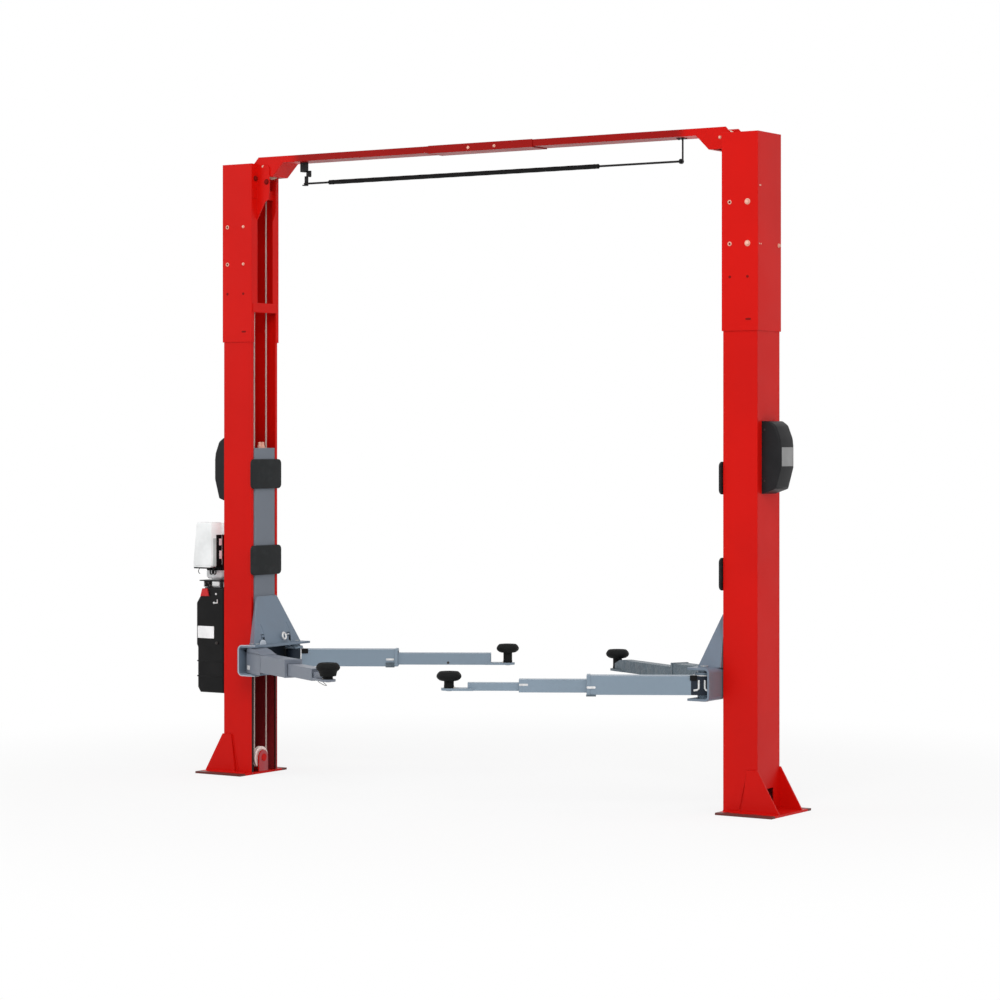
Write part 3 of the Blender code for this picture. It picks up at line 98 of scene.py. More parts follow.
# Full white as a light level
WHITE = (1.0, 1.0, 1.0, 1.0)
# Edges sharper than this are rounded by a bevel
SHARP_ANGLE = math.radians(30.0)


class Signal:
    """A shader socket that takes part in Python arithmetic.

    Each operator adds the Math node that it stands for.
    """

    def __init__(self, graph: Graph, socket: bpy.types.NodeSocket) -> None:
        """Wraps an output socket of a graph."""
        self.graph = graph
        self.socket = socket

    def _math(self, operation: str, first: Input, second: Input) -> Signal:
        """One Math node on two values."""
        return self.graph.node("ShaderNodeMath", {"operation": operation}, {0: first, 1: second})

    def __add__(self, other: Input) -> Signal:
        """The sum of two values."""
        return self._math("ADD", self, other)

    def __radd__(self, other: Input) -> Signal:
        """The sum of a number and a value."""
        return self._math("ADD", other, self)

    def __sub__(self, other: Input) -> Signal:
        """The difference of two values."""
        return self._math("SUBTRACT", self, other)

    def __rsub__(self, other: Input) -> Signal:
        """A number less a value."""
        return self._math("SUBTRACT", other, self)

    def __mul__(self, other: Input) -> Signal:
        """The product of two values."""
        return self._math("MULTIPLY", self, other)

    def __rmul__(self, other: Input) -> Signal:
        """The product of a number and a value."""
        return self._math("MULTIPLY", other, self)

    def __pow__(self, other: Input) -> Signal:
        """A value raised to a power."""
        return self._math("POWER", self, other)

    def at_least(self, other: Input) -> Signal:
        """The larger of two values."""
        return self._math("MAXIMUM", self, other)

    def magnitude(self) -> Signal:
        """A value without its sign."""
        return self.graph.node("ShaderNodeMath", {"operation": "ABSOLUTE"}, {0: self})

    def sine(self) -> Signal:
        """The sine of a value."""
        return self.graph.node("ShaderNodeMath", {"operation": "SINE"}, {0: self})

    def along(self, axis: str) -> Signal:
        """A vector's share along X, Y or Z."""
        return self.graph.node("ShaderNodeSeparateXYZ", None, {0: self}, axis)

    def ramp(self, low: float, high: float) -> Signal:
        """A smooth step.

        Args:
            low: The value at which the step starts.
            high: The value at which it ends.

        Returns:
            0 below low and 1 above high.
        """
        return self.graph.node(
            "ShaderNodeMapRange",
            {"interpolation_type": "SMOOTHSTEP"},
            {"Value": self, "From Min": low, "From Max": high},
        )


class Graph:
    """The node tree of one material or world, while it is being drawn."""

    def __init__(self, tree: bpy.types.NodeTree) -> None:
        """Empties a tree and keeps it."""
        tree.nodes.clear()
        self.tree = tree

    def node(
        self,
        kind: str,
        settings: dict[str, object] | None = None,
        inputs: dict[int | str, object] | None = None,
        output: int | str = 0,
    ) -> Signal:
        """Adds a node.

        Args:
            kind: The node's type.
            settings: What is set on the node first; "stops" fills a colour ramp.
            inputs: Values or links of its sockets, by name or number.
            output: The socket that is handed back.

        Returns:
            The chosen output.
        """
        made = self.tree.nodes.new(kind)
        for key, value in (settings or {}).items():
            if key == "stops":
                self._fill(made.color_ramp, value)
            else:
                setattr(made, key, value)
        for key, value in (inputs or {}).items():
            if isinstance(value, Signal):
                self.tree.links.new(value.socket, made.inputs[key])
            else:
                made.inputs[key].default_value = value
        return Signal(self, made.outputs[output]) if made.outputs else Signal(self, made.inputs[0])

    @staticmethod
    def _fill(ramp: bpy.types.ColorRamp, stops: Iterable[tuple[float, float]]) -> None:
        """Sets a ramp's grey stops, as pairs of place and value."""
        stops = list(stops)
        while len(ramp.elements) < len(stops):
            ramp.elements.new(1.0)
        for element, (place, value) in zip(ramp.elements, stops):
            element.position = place
            element.color = (value, value, value, 1.0)

    def mix(self, share: Input, first: object, second: object) -> Signal:
        """Mixes two colours by a share of the second."""
        return self.node("ShaderNodeMix", {"data_type": "RGBA"}, {0: share, 6: first, 7: second}, 2)

    def place(self) -> Signal:
        """A point in the piece's own metres."""
        return self.node("ShaderNodeTexCoord", output="Object")

    def noise(self, scale: float, detail: float = 2.0, stretch: Point | None = None) -> Signal:
        """Noise on the piece.

        Args:
            scale: Cells to the metre.
            detail: Octaves.
            stretch: How much finer the noise is along X, Y and Z.

        Returns:
            A value round a half.
        """
        vector = self.place()
        if stretch:
            vector = self.node("ShaderNodeMapping", None, {"Vector": vector, "Scale": tuple(stretch)})
        return self.node("ShaderNodeTexNoise", None, {"Vector": vector, "Scale": scale, "Detail": detail})

    def rounded_edges(self, radius: float) -> Signal:
        """The surface's direction with its edges rounded off."""
        return self.node("ShaderNodeBevel", {"samples": 6}, {"Radius": radius})

    def edges(self, radius: float) -> Signal:
        """1 along outer and inner edges, 0 on flat stretches."""
        sharp = self.node("ShaderNodeNewGeometry", output="Normal")
        pair = {0: self.rounded_edges(radius), 1: sharp}
        agreement = self.node("ShaderNodeVectorMath", {"operation": "DOT_PRODUCT"}, pair, "Value")
        return (1.0 - agreement).ramp(0.01, 0.22)

    def bump(self, height: Signal, distance: float, normal: Signal | None = None) -> Signal:
        """A bumped surface direction.

        Args:
            height: The height, from 0 to 1.
            distance: What a height of 1 stands for, in metres.
            normal: The direction that is bumped.

        Returns:
            The new direction.
        """
        inputs: dict[int | str, object] = {"Height": height, "Distance": distance, "Strength": 1.0}
        if normal:
            inputs["Normal"] = normal
        return self.node("ShaderNodeBump", None, inputs)


def linear(colour: tuple[int, int, int]) -> tuple[float, float, float, float]:
    """A screen colour, 0 to 255, as a light level for a shader."""
    levels = [channel / 255 for channel in colour]
    return (*(c / 12.92 if c <= 0.04045 else ((c + 0.055) / 1.055) ** 2.4 for c in levels), 1.0)


def toned(level: Point, gain: float, lift: float = 0.0) -> tuple[float, float, float, float]:
    """A light level made stronger or weaker, then lifted."""
    return (*(channel * gain + lift for channel in level[:3]), 1.0)


@dataclass(frozen=True)
class Finish:
    """A surface finish. Each kind draws its own shader.

    Attributes:
        name: The material's name.
        slot: The record's slot that it stands for.
        colour: Screen colour, 0 to 255.
        roughness: Mean roughness.
    """

    name: str
    slot: str
    colour: tuple[int, int, int]
    roughness: float

    def material(self) -> bpy.types.Material:
        """The finish as a material, made once."""
        made = bpy.data.materials.get(self.name)
        if made is None:
            made = bpy.data.materials.new(self.name)
            made.use_nodes = True
            graph = Graph(made.node_tree)
            shader = graph.node("ShaderNodeBsdfPrincipled", None, self.sockets(graph))
            graph.node("ShaderNodeOutputMaterial", None, {"Surface": shader})
        return made

    def sockets(self, graph: Graph) -> dict[int | str, object]:
        """What feeds the shader."""
        return {"Base Color": linear(self.colour), "Roughness": self.roughness}


@dataclass(frozen=True)
class PowderCoat(Finish):
    """Baked powder paint: a soft sheen, a fine orange peel, and a painted edge colour: paler edges are a
    painted highlight, darker ones painted shade.

    Attributes:
        edge: Screen colour painted along edges: a painted highlight when paler than the paint, painted
            shade when darker.
        drift: How far the colour drifts over a panel.
        peel: Depth of the orange peel in metres.
        radius: Radius that edges look rounded by, in metres.
        painted_edge_share: How much of the painted edge colour shows there.
        lumps: Depth of the unevenness of a cast surface under the paint, in metres.
        gloss: Level of the reflections.
    """

    edge: tuple[int, int, int] = (225, 90, 80)
    drift: float = 0.10
    peel: float = 0.00012
    radius: float = 0.003
    painted_edge_share: float = 0.30
    lumps: float = 0.0
    gloss: float = 0.22

    def tone(self, graph: Graph) -> Signal:
        """The paint's colour, which drifts, with the painted edge colour along edges."""
        base = linear(self.colour)
        dark = toned(base, 1 - self.drift)
        colour = graph.mix(graph.noise(1.3, 3.0).ramp(0.3, 0.7), dark, base)
        # The edge colour is painted in patches along edges: a painted highlight where paler than the paint,
        # painted shade where darker
        edge = graph.edges(self.radius) * graph.noise(60.0, 2.0).ramp(0.25, 0.6)
        return graph.mix(edge * self.painted_edge_share, colour, linear(self.edge))

    def sockets(self, graph: Graph) -> dict[int | str, object]:
        """Drift, painted edge colour, peel and a dull patchiness."""
        colour = self.tone(graph)
        handled = graph.noise(5.0, 4.0)
        normal = graph.bump(graph.noise(420.0, 1.0), self.peel, graph.rounded_edges(self.radius))
        if self.lumps:
            normal = graph.bump(graph.noise(17.0, 3.0), self.lumps, normal)
        return {
            "Base Color": colour,
            "Roughness": self.roughness + (handled - 0.5) * 0.16,
            "Specular IOR Level": self.gloss,
            "Normal": normal,
        }


@dataclass(frozen=True)
class PostCoat(PowderCoat):
    """The posts' coat, with painted shade on the inside of their feet.

    Attributes:
        inner_shade: Screen colour of the painted shade inside a foot.
        far_shade: The painted shade's colour on the far flange's inner face, which catches more light.
        web: Distance of the web's inner face from a post's axis.
        flange: Distance of the flanges' inner faces from the post's middle.
        far_edge: Places along Y between which the far flange's colour sets in.
        shade_top: Heights between which the painted shade goes over to paint.
    """

    inner_shade: tuple[int, int, int] = (34, 9, 6)
    far_shade: tuple[int, int, int] = (150, 38, 42)
    web: float = 0.0985
    flange: float = 0.1215
    far_edge: tuple[float, float] = (0.105, 0.118)
    shade_top: tuple[float, float] = (0.62, 0.95)

    def tone(self, graph: Graph) -> Signal:
        """Paint outside, painted shade inside the foot."""
        place = graph.place()
        x, y, z = (place.along(axis) for axis in "XYZ")
        inside = (MIDDLE + self.web - (x - MIDDLE).magnitude()).ramp(0.0, COAT_EDGE)
        inside = inside * (self.flange - y.magnitude()).ramp(0.0, COAT_EDGE)
        low = 1.0 - z.ramp(*self.shade_top)
        # Painted shade inside the foot, paler on the far flange's inner face
        inner_shade = graph.mix(y.ramp(*self.far_edge), linear(self.inner_shade), linear(self.far_shade))
        return graph.mix(inside * low, super().tone(graph), inner_shade)


@dataclass(frozen=True)
class CarriageCoat(PowderCoat):
    """The carriages' coat: the welded bracket and yoke are bluer than the tube.

    Attributes:
        bracket: Screen colour of the bracket and the yoke.
        tube: Distance of the tube's face from the middle between the posts.
    """

    bracket: tuple[int, int, int] = (119, 134, 150)
    tube: float = 1.5738

    def tone(self, graph: Graph) -> Signal:
        """The tube's grey, and the bracket's before its face."""
        from_middle = (graph.place().along("X") - MIDDLE).magnitude()
        before = (self.tube - from_middle).ramp(0.0, COAT_EDGE)
        cloud = graph.noise(7.0, 4.0).ramp(0.25, 0.8)
        return graph.mix(before * (0.75 + cloud * 0.25), super().tone(graph), linear(self.bracket))


@dataclass(frozen=True)
class BeamCoat(PowderCoat):
    """The beam's coat, a deeper red between its ends.

    Attributes:
        deep: Screen colour between the ends.
        ends: Distances from the beam's middle between which the colour goes over.
    """

    deep: tuple[int, int, int] = (148, 14, 10)
    ends: tuple[float, float] = (1.25, 1.34)

    def tone(self, graph: Graph) -> Signal:
        """Bright red at both ends, deeper red between."""
        from_middle = (graph.place().along("X") - MIDDLE).magnitude()
        cloud = (graph.noise(3.0, 3.0) - 0.5) * 0.12
        share = 1.0 - (from_middle + cloud).ramp(*self.ends)
        return graph.mix(share * 0.92, super().tone(graph), linear(self.deep))


@dataclass(frozen=True)
class PlateCoat(PowderCoat):
    """The base plates' coat, worn to bare steel along the front and back that the gussets leave free.

    Attributes:
        steel: Screen colour of the worn steel.
        corner: Distance along Y at which the wear sets in.
        thickness: Height below which a point is on the plate.
    """

    steel: tuple[int, int, int] = (70, 60, 56)
    corner: float = 0.176
    thickness: float = 0.0135

    def tone(self, graph: Graph) -> Signal:
        """Paint, with a worn front and back."""
        place = graph.place()
        worn = place.along("Y").magnitude() + (graph.noise(34.0, 3.0) - 0.5) * 0.05
        flat = (self.thickness - place.along("Z")).ramp(0.0, 0.0005)
        worn = worn.ramp(self.corner, self.corner + 0.008) * flat
        return graph.mix(worn * 0.85, super().tone(graph), linear(self.steel))


@dataclass(frozen=True)
class Plated(Finish):
    """Zinc plated or bright steel with a fine grain.

    Attributes:
        metallic: Share of metal.
        grain: Depth of the grain in metres.
        radius: Radius that edges look rounded by, in metres.
    """

    metallic: float = 1.0
    grain: float = 0.00005
    radius: float = 0.0008

    def sockets(self, graph: Graph) -> dict[int | str, object]:
        """Grain, and a clouded tone."""
        base = linear(self.colour)
        dark = toned(base, 0.72)
        cloud = graph.noise(45.0, 4.0)
        return {
            "Base Color": graph.mix(cloud.ramp(0.3, 0.75), dark, base),
            "Roughness": self.roughness + (cloud - 0.5) * 0.25,
            "Metallic": self.metallic,
            "Normal": graph.bump(graph.noise(900.0, 2.0), self.grain, graph.rounded_edges(self.radius)),
        }


@dataclass(frozen=True)
class Rubber(Finish):
    """Moulded rubber: matt, a little dusty on its faces, with a fine skin."""

    def sockets(self, graph: Graph) -> dict[int | str, object]:
        """Dust and skin."""
        base = linear(self.colour)
        dusty = toned(base, 2.2, 0.004)
        dust = graph.noise(22.0, 5.0).ramp(0.42, 0.78)
        skin = graph.noise(700.0, 2.0)
        return {
            "Base Color": graph.mix(dust * 0.5, base, dusty),
            "Roughness": self.roughness + dust * 0.14,
            "Specular IOR Level": 0.14,
            "Normal": graph.bump(skin, 0.0001, graph.rounded_edges(0.0015)),
        }


@dataclass(frozen=True)
class Moulded(Finish):
    """Injection moulded plastic with a spark-eroded texture.

    Attributes:
        texture: Depth of the texture in metres.
    """

    texture: float = 0.00008

    def sockets(self, graph: Graph) -> dict[int | str, object]:
        """Texture and a slight drift in tone."""
        base = linear(self.colour)
        worn = toned(base, 1.18, 0.003)
        drift = graph.noise(9.0, 3.0)
        texture = graph.noise(1100.0, 2.0)
        return {
            "Base Color": graph.mix(drift.ramp(0.35, 0.75), base, worn),
            "Roughness": self.roughness + (drift - 0.5) * 0.14,
            "Specular IOR Level": 0.16,
            "Normal": graph.bump(texture, self.texture, graph.rounded_edges(0.002)),
        }


@dataclass(frozen=True)
class Foam(Finish):
    """Closed cell foam with an open-pored skin."""

    def sockets(self, graph: Graph) -> dict[int | str, object]:
        """Pores as small dark pits."""
        cells = graph.node("ShaderNodeTexVoronoi", None, {"Vector": graph.place(), "Scale": 420.0})
        base = linear(self.colour)
        pit = toned(base, 0.4)
        return {
            "Base Color": graph.mix(cells.ramp(0.05, 0.45), pit, base),
            "Roughness": self.roughness,
            "Specular IOR Level": 0.25,
            "Normal": graph.bump(cells, 0.0005),
        }


@dataclass(frozen=True)
class Strands(Finish):
    """Laid wire rope, on a UV map that runs round and along it.

    Attributes:
        strands: Strands round the rope.
        lay: Turns of a strand to the metre.
        wire_lay: Turns of the fine wires to the metre, the other way round.
    """

    strands: int = 6
    lay: float = 16.0
    wire_lay: float = 70.0

    def sockets(self, graph: Graph) -> dict[int | str, object]:
        """Strands as slanted ridges with painted shade in the valleys between them, and fine wires that
        cross them.
        """
        uv = graph.node("ShaderNodeUVMap", {"uv_map": "rope"})
        around, along = uv.along("X"), uv.along("Y")
        turn = 2 * math.pi * self.strands
        ridge = ((around + along * self.lay) * turn).sine()
        wires = ((around * 2 - along * self.wire_lay) * turn).sine()
        height = (ridge * 0.5 + 0.5) ** 0.6
        base = linear(self.colour)
        # The dark tone named grease is painted shade in the valleys between strands
        grease = toned(base, 0.12)
        return {
            "Base Color": graph.mix(height.ramp(0.15, 0.75), grease, base),
            "Metallic": 0.75,
            "Roughness": self.roughness + wires * 0.06,
            "Normal": graph.bump(height + wires * 0.08, 0.0012),
        }


# What the four coats of the same red share: slot, colour, roughness, painted shade along edges and sheen
RED_PAINT = {
    "slot": "red_paint",
    "colour": (216, 17, 9),
    "roughness": 0.40,
    "edge": (170, 12, 8),
    "painted_edge_share": 0.35,
    "gloss": 0.12,
}


class Look(Enum):
    """The finishes that the lift wears."""

    RED = PowderCoat("red_powder_coat", **RED_PAINT)
    BEAM_RED = BeamCoat("beam_red", **RED_PAINT)
    POST_RED = PostCoat("red_post_coat", **RED_PAINT)
    PLATE_RED = PlateCoat("red_plate_coat", **RED_PAINT)
    # A darker copy of the red as painted shade: the holes, the slots and the ear bolts
    RED_SHADE = PowderCoat("shaded_red", "red_paint", (132, 14, 10), 0.60, (120, 12, 8), gloss=0.12)
    # Bare steel coloured with the pink of the red paint that it reflects: a painted reflection
    RED_REFLECTING_STEEL = Plated("steel_red_reflection", "bare_steel", (250, 190, 168), 0.50, 0.05)
    # The pale edge colour, mixed in strongly, is a painted highlight along the carriage's edges
    GREY = CarriageCoat(
        "carriage_grey", "grey_paint", (119, 126, 136), 0.40, (200, 207, 216), 0.08, painted_edge_share=0.7
    )
    PALE_GREY = PowderCoat("pale_grey", "grey_paint", (196, 204, 214), 0.40, (226, 230, 236), 0.08)
    # The pale edge colour is a painted highlight along the arms' edges
    ARM = PowderCoat(
        "arm_blue_grey", "arm_paint", (140, 157, 172), 0.40, (208, 217, 226), 0.08, painted_edge_share=0.5
    )
    ARM_MAUVE = PowderCoat("arm_mauve_grey", "arm_paint", (126, 133, 145), 0.40, (190, 196, 206), 0.08)
    # A darker copy of the arm paint as painted shade, on the far right rear arm and the blocks under stop
    # plates; its lumps are a bump
    ARM_SHADED = PowderCoat(
        "arm_grey_in_shade", "arm_paint", (100, 113, 122), 0.40, (156, 168, 176), 0.22, peel=0.0002, lumps=0.035
    )
    # A dark blue copy of the grey paint as painted shade: the arm roots' sleeves and a shadow on the yoke's
    # inner wall
    BLUE_SHADE = PowderCoat("deep_blue_shade", "grey_paint", (34, 42, 54), 0.50, (60, 70, 84), 0.10)
    BLUSH = Moulded("blush_plastic", "white_plastic", (226, 196, 200), 0.5, 0.00003)
    ZINC = Plated("zinc_plate", "bare_steel", (228, 222, 212), 0.36, 0.55)
    BRIGHT = Plated("bright_zinc", "bare_steel", (244, 244, 244), 0.42, 0.10)
    OILED = Plated("oiled_steel", "bare_steel", (62, 58, 57), 0.44, 0.6)
    CHROME = Plated("hard_chrome", "bare_steel", (225, 226, 230), 0.10, 1.0, 0.00001)
    PALE_METAL = Plated("pale_casting", "cast_metal", (232, 233, 235), 0.46, 0.10, 0.0002, 0.002)
    ROPE = Strands("laid_rope", "wire_rope", (222, 196, 188), 0.40)
    CREAM = Moulded("cream_nylon", "cream_plastic", (226, 216, 196), 0.42)
    RUBBER = Rubber("pad_rubber", "black_rubber", (16, 17, 17), 0.66)
    GUARD = Rubber("guard_rubber", "black_rubber", (37, 39, 40), 0.60)
    FOAM = Foam("bar_foam", "black_rubber", (18, 18, 19), 0.92)
    COVER = Moulded("cover_plastic", "black_plastic", (26, 26, 28), 0.48)
    COVER_TRIM = Moulded("cover_trim", "black_plastic", (150, 150, 150), 0.46)
    SIDE_TRIM = Moulded("cover_side_trim", "black_plastic", (186, 193, 192), 0.46)
    TANK = Moulded("tank_plastic", "black_plastic", (9, 9, 10), 0.42)
    WHITE = Moulded("motor_cover_white", "white_plastic", (240, 242, 242), 0.36, 0.00004)
    PALE_NYLON = Moulded("pale_nylon", "white_plastic", (252, 232, 226), 0.42)
    # Red paint in a pale rose tone: a painted highlight on the base sheave bracket's cover and cap
    BRACKET_HIGHLIGHT = PowderCoat("bracket_red_highlight", "red_paint", (196, 78, 84), 0.40, (220, 130, 130), 0.15)
    PLATE = Moulded("blank_plate", "white_plastic", (252, 252, 253), 0.36, 0.00002)
    RED_CAP = Moulded("red_cap", "red_paint", (204, 50, 52), 0.38)
    BLACK = PowderCoat("black_enamel", "black_paint", (17, 17, 18), 0.38, (52, 52, 54), 0.15)

    @property
    def slot(self) -> str:
        """The record's slot of the finish."""
        return self.value.slot

    def material(self) -> bpy.types.Material:
        """The finish as a material."""
        return self.value.material()


class Form:
    """A mesh in the making, with the steps that the lift's pieces share."""

    def __init__(self) -> None:
        """Starts with nothing."""
        self.mesh = bmesh.new()

    def _keep(self, geometry: dict[str, list[object]], matrix: Matrix) -> Form:
        """Places what an operator has just made."""
        bmesh.ops.transform(self.mesh, matrix=matrix, verts=geometry["verts"])
        return self

    def _join(self, part: bmesh.types.BMesh) -> Form:
        """Takes in another mesh, which is used up."""
        mesh = bpy.data.meshes.new("joined")
        part.to_mesh(mesh)
        part.free()
        self.mesh.from_mesh(mesh)
        bpy.data.meshes.remove(mesh)
        return self

    def block(self, low: Point, high: Point) -> Form:
        """Adds a box between two corners."""
        size = [b - a for a, b in zip(low, high)]
        middle = [(a + b) / 2 for a, b in zip(low, high)]
        matrix = Matrix.Translation(middle) @ Matrix.Diagonal((*size, 1.0))
        return self._keep(bmesh.ops.create_cube(self.mesh, size=1.0), matrix)

    def rod(self, start: Point, end: Point, radius: float, sides: int = 24) -> Form:
        """Adds a round or many-sided bar.

        Args:
            start: Middle of its first end.
            end: Middle of its other end.
            radius: Its radius, out to the corners.
            sides: Sides round it.

        Returns:
            The form.
        """
        start, end = Vector(start), Vector(end)
        span = end - start
        made = bmesh.ops.create_cone(
            self.mesh,
            cap_ends=True,
            segments=sides,
            radius1=radius,
            radius2=radius,
            depth=span.length,
        )
        turn = span.to_track_quat("Z", "Y").to_matrix().to_4x4()
        return self._keep(made, Matrix.Translation((start + end) / 2) @ turn)

    def turned(self, profile: Sequence[Point], centre: Point, axis: Point, sides: int) -> Form:
        """Adds a solid of revolution.

        Args:
            profile: Pairs of height along the axis and radius.
            centre: Where height 0 lies.
            axis: The axis.
            sides: Steps round it.

        Returns:
            The form.
        """
        part = bmesh.new()
        verts = [part.verts.new((radius, 0.0, height)) for height, radius in profile]
        edges = [part.edges.new(pair) for pair in zip(verts, verts[1:])]
        bmesh.ops.spin(
            part,
            geom=verts + edges,
            cent=(0, 0, 0),
            axis=Z_AXIS,
            angle=2 * math.pi,
            steps=sides,
            use_merge=True,
        )
        bmesh.ops.remove_doubles(part, verts=part.verts, dist=1e-6)
        turn = Vector(axis).to_track_quat("Z", "Y").to_matrix().to_4x4()
        bmesh.ops.transform(part, matrix=Matrix.Translation(centre) @ turn, verts=part.verts)
        bmesh.ops.recalc_face_normals(part, faces=part.faces)
        return self._join(part)

    def slab(self, outline: Sequence[Point], push: Point) -> Form:
        """Adds an outline of points in space, pushed along a vector."""
        ring = [self.mesh.verts.new(point) for point in outline]
        face = self.mesh.faces.new(ring)
        pushed = bmesh.ops.extrude_face_region(self.mesh, geom=[face])
        moved = [item for item in pushed["geom"] if isinstance(item, bmesh.types.BMVert)]
        bmesh.ops.translate(self.mesh, verts=moved, vec=push)
        return self

    def sweep(
        self,
        path: Sequence[Point],
        radius: float,
        sides: int,
        ripple: float = 0.0,
        uv_map: str | None = None,
    ) -> Form:
        """Adds a round bar bent along a path.

        Args:
            path: Points along its middle.
            radius: Its radius.
            sides: Sides round it.
            ripple: Share by which every other ring is thinner, as in a weld bead.
            uv_map: Name of a UV map to lay: once round it, and in metres along it.

        Returns:
            The form.
        """
        part = bmesh.new()
        along = part.verts.layers.float.new("along")
        around = part.verts.layers.float.new("around")
        points = [Vector(point) for point in path]
        length = 0.0
        loop: list[bmesh.types.BMEdge] = []
        across = Vector((0.31, 0.95, 0.07))
        for k, point in enumerate(points):
            ahead = (points[min(k + 1, len(points) - 1)] - points[max(k - 1, 0)]).normalized()
            if abs(across.dot(ahead)) > 0.98:
                across = ahead.orthogonal()
            across = (across - ahead * across.dot(ahead)).normalized()
            third = ahead.cross(across)
            matrix = Matrix((across, third, ahead)).transposed().to_4x4()
            matrix.translation = point
            size = radius * (1 - ripple * (k % 2))
            length += (point - points[max(k - 1, 0)]).length
            ends = k in (0, len(points) - 1)
            made = bmesh.ops.create_circle(part, cap_ends=ends, segments=sides, radius=size)
            for vert in made["verts"]:
                vert[along] = length
                vert[around] = math.atan2(vert.co.y, vert.co.x) / (2 * math.pi) + 0.5
            bmesh.ops.transform(part, matrix=matrix, verts=made["verts"])
            ring = list(
                {edge for vert in made["verts"] for edge in vert.link_edges if len(edge.link_faces) < 2}
            )
            if loop:
                bmesh.ops.bridge_loops(part, edges=loop + ring)
            loop = ring
        if uv_map:
            layer = part.loops.layers.uv.new(uv_map)
            for face in part.faces:
                wraps = max(v[around] for v in face.verts) - min(v[around] for v in face.verts) > 0.5
                for corner in face.loops:
                    turn = corner.vert[around]
                    corner[layer].uv = (turn + 1.0 if wraps and turn < 0.5 else turn, corner.vert[along])
        bmesh.ops.recalc_face_normals(part, faces=part.faces)
        return self._join(part)

    def round_edges(
        self, edges: list[bmesh.types.BMEdge], width: float, segments: int, clamp: bool = True
    ) -> Form:
        """Rounds chosen edges.

        Args:
            edges: The edges.
            width: Width of the rounding.
            segments: Its steps.
            clamp: Whether it stops where two roundings would meet.

        Returns:
            The form.
        """
        bmesh.ops.bevel(
            self.mesh,
            geom=edges,
            offset=width,
            segments=segments,
            profile=0.5,
            affect="EDGES",
            material=-1,
            clamp_overlap=clamp,
        )
        return self

    def bevel(self, width: float, segments: int) -> Form:
        """Rounds every sharp edge."""
        bmesh.ops.remove_doubles(self.mesh, verts=self.mesh.verts, dist=1e-6)
        bmesh.ops.recalc_face_normals(self.mesh, faces=self.mesh.faces)
        whole = [edge for edge in self.mesh.edges if edge.is_manifold]
        sharp = [edge for edge in whole if edge.calc_face_angle(0.0) > SHARP_ANGLE]
        return self.round_edges(sharp, width, segments)

    def moved(self, matrix: Matrix) -> Form:
        """Moves all of it."""
        bmesh.ops.transform(self.mesh, matrix=matrix, verts=self.mesh.verts)
        return self

    def add(self, other: Form) -> Form:
        """Takes in another form, which is used up."""
        return self._join(other.mesh)

    def piece(
        self, name: str, look: Look, body: str = "frame", smooth: float = 35.0
    ) -> bpy.types.Object:
        """Makes the form a piece that rides on a body.

        Args:
            name: The piece's name.
            look: Its finish.
            body: The body that it rides on.
            smooth: Edges sharper than this angle, in degrees, stay sharp.

        Returns:
            The piece.
        """
        bmesh.ops.recalc_face_normals(self.mesh, faces=self.mesh.faces)
        data = bpy.data.meshes.new(name)
        self.mesh.to_mesh(data)
        self.mesh.free()
        data.materials.append(look.material())
        data.shade_smooth()
        data.set_sharp_from_angle(angle=math.radians(smooth))
        made = bpy.data.objects.new(name, data)
        bpy.context.collection.objects.link(made)
        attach(made, body)
        look.slot
        log.info("%s rides on %s", name, body)
        return made


def arc(centre: Point, radius: float, start: float, end: float, steps: int) -> list[tuple[float, float]]:
    """Points of an arc.

    Args:
        centre: Its centre in a plane.
        radius: Its radius.
        start: First angle in degrees.
        end: Last angle in degrees.
        steps: Chords.

    Returns:
        Points in the plane.
    """
    turns = [math.radians(start + (end - start) * k / steps) for k in range(steps + 1)]
    return [(centre[0] + radius * math.cos(t), centre[1] + radius * math.sin(t)) for t in turns]


def rounded(low: Point, high: Point, radius: float, steps: int = 6) -> list[tuple[float, float]]:
    """The outline of a rectangle with round corners, between two corners in a plane."""
    points = arc((high[0] - radius, high[1] - radius), radius, 0, 90, steps)
    points += arc((low[0] + radius, high[1] - radius), radius, 90, 180, steps)
    points += arc((low[0] + radius, low[1] + radius), radius, 180, 270, steps)
    points += arc((high[0] - radius, low[1] + radius), radius, 270, 360, steps)
    return points


def dress(look: Look, *nodes: str) -> None:
    """Gives nodes of the frame a finish."""
    for name in nodes:
        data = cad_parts[name].data
        data.materials.clear()
        data.materials.append(look.material())


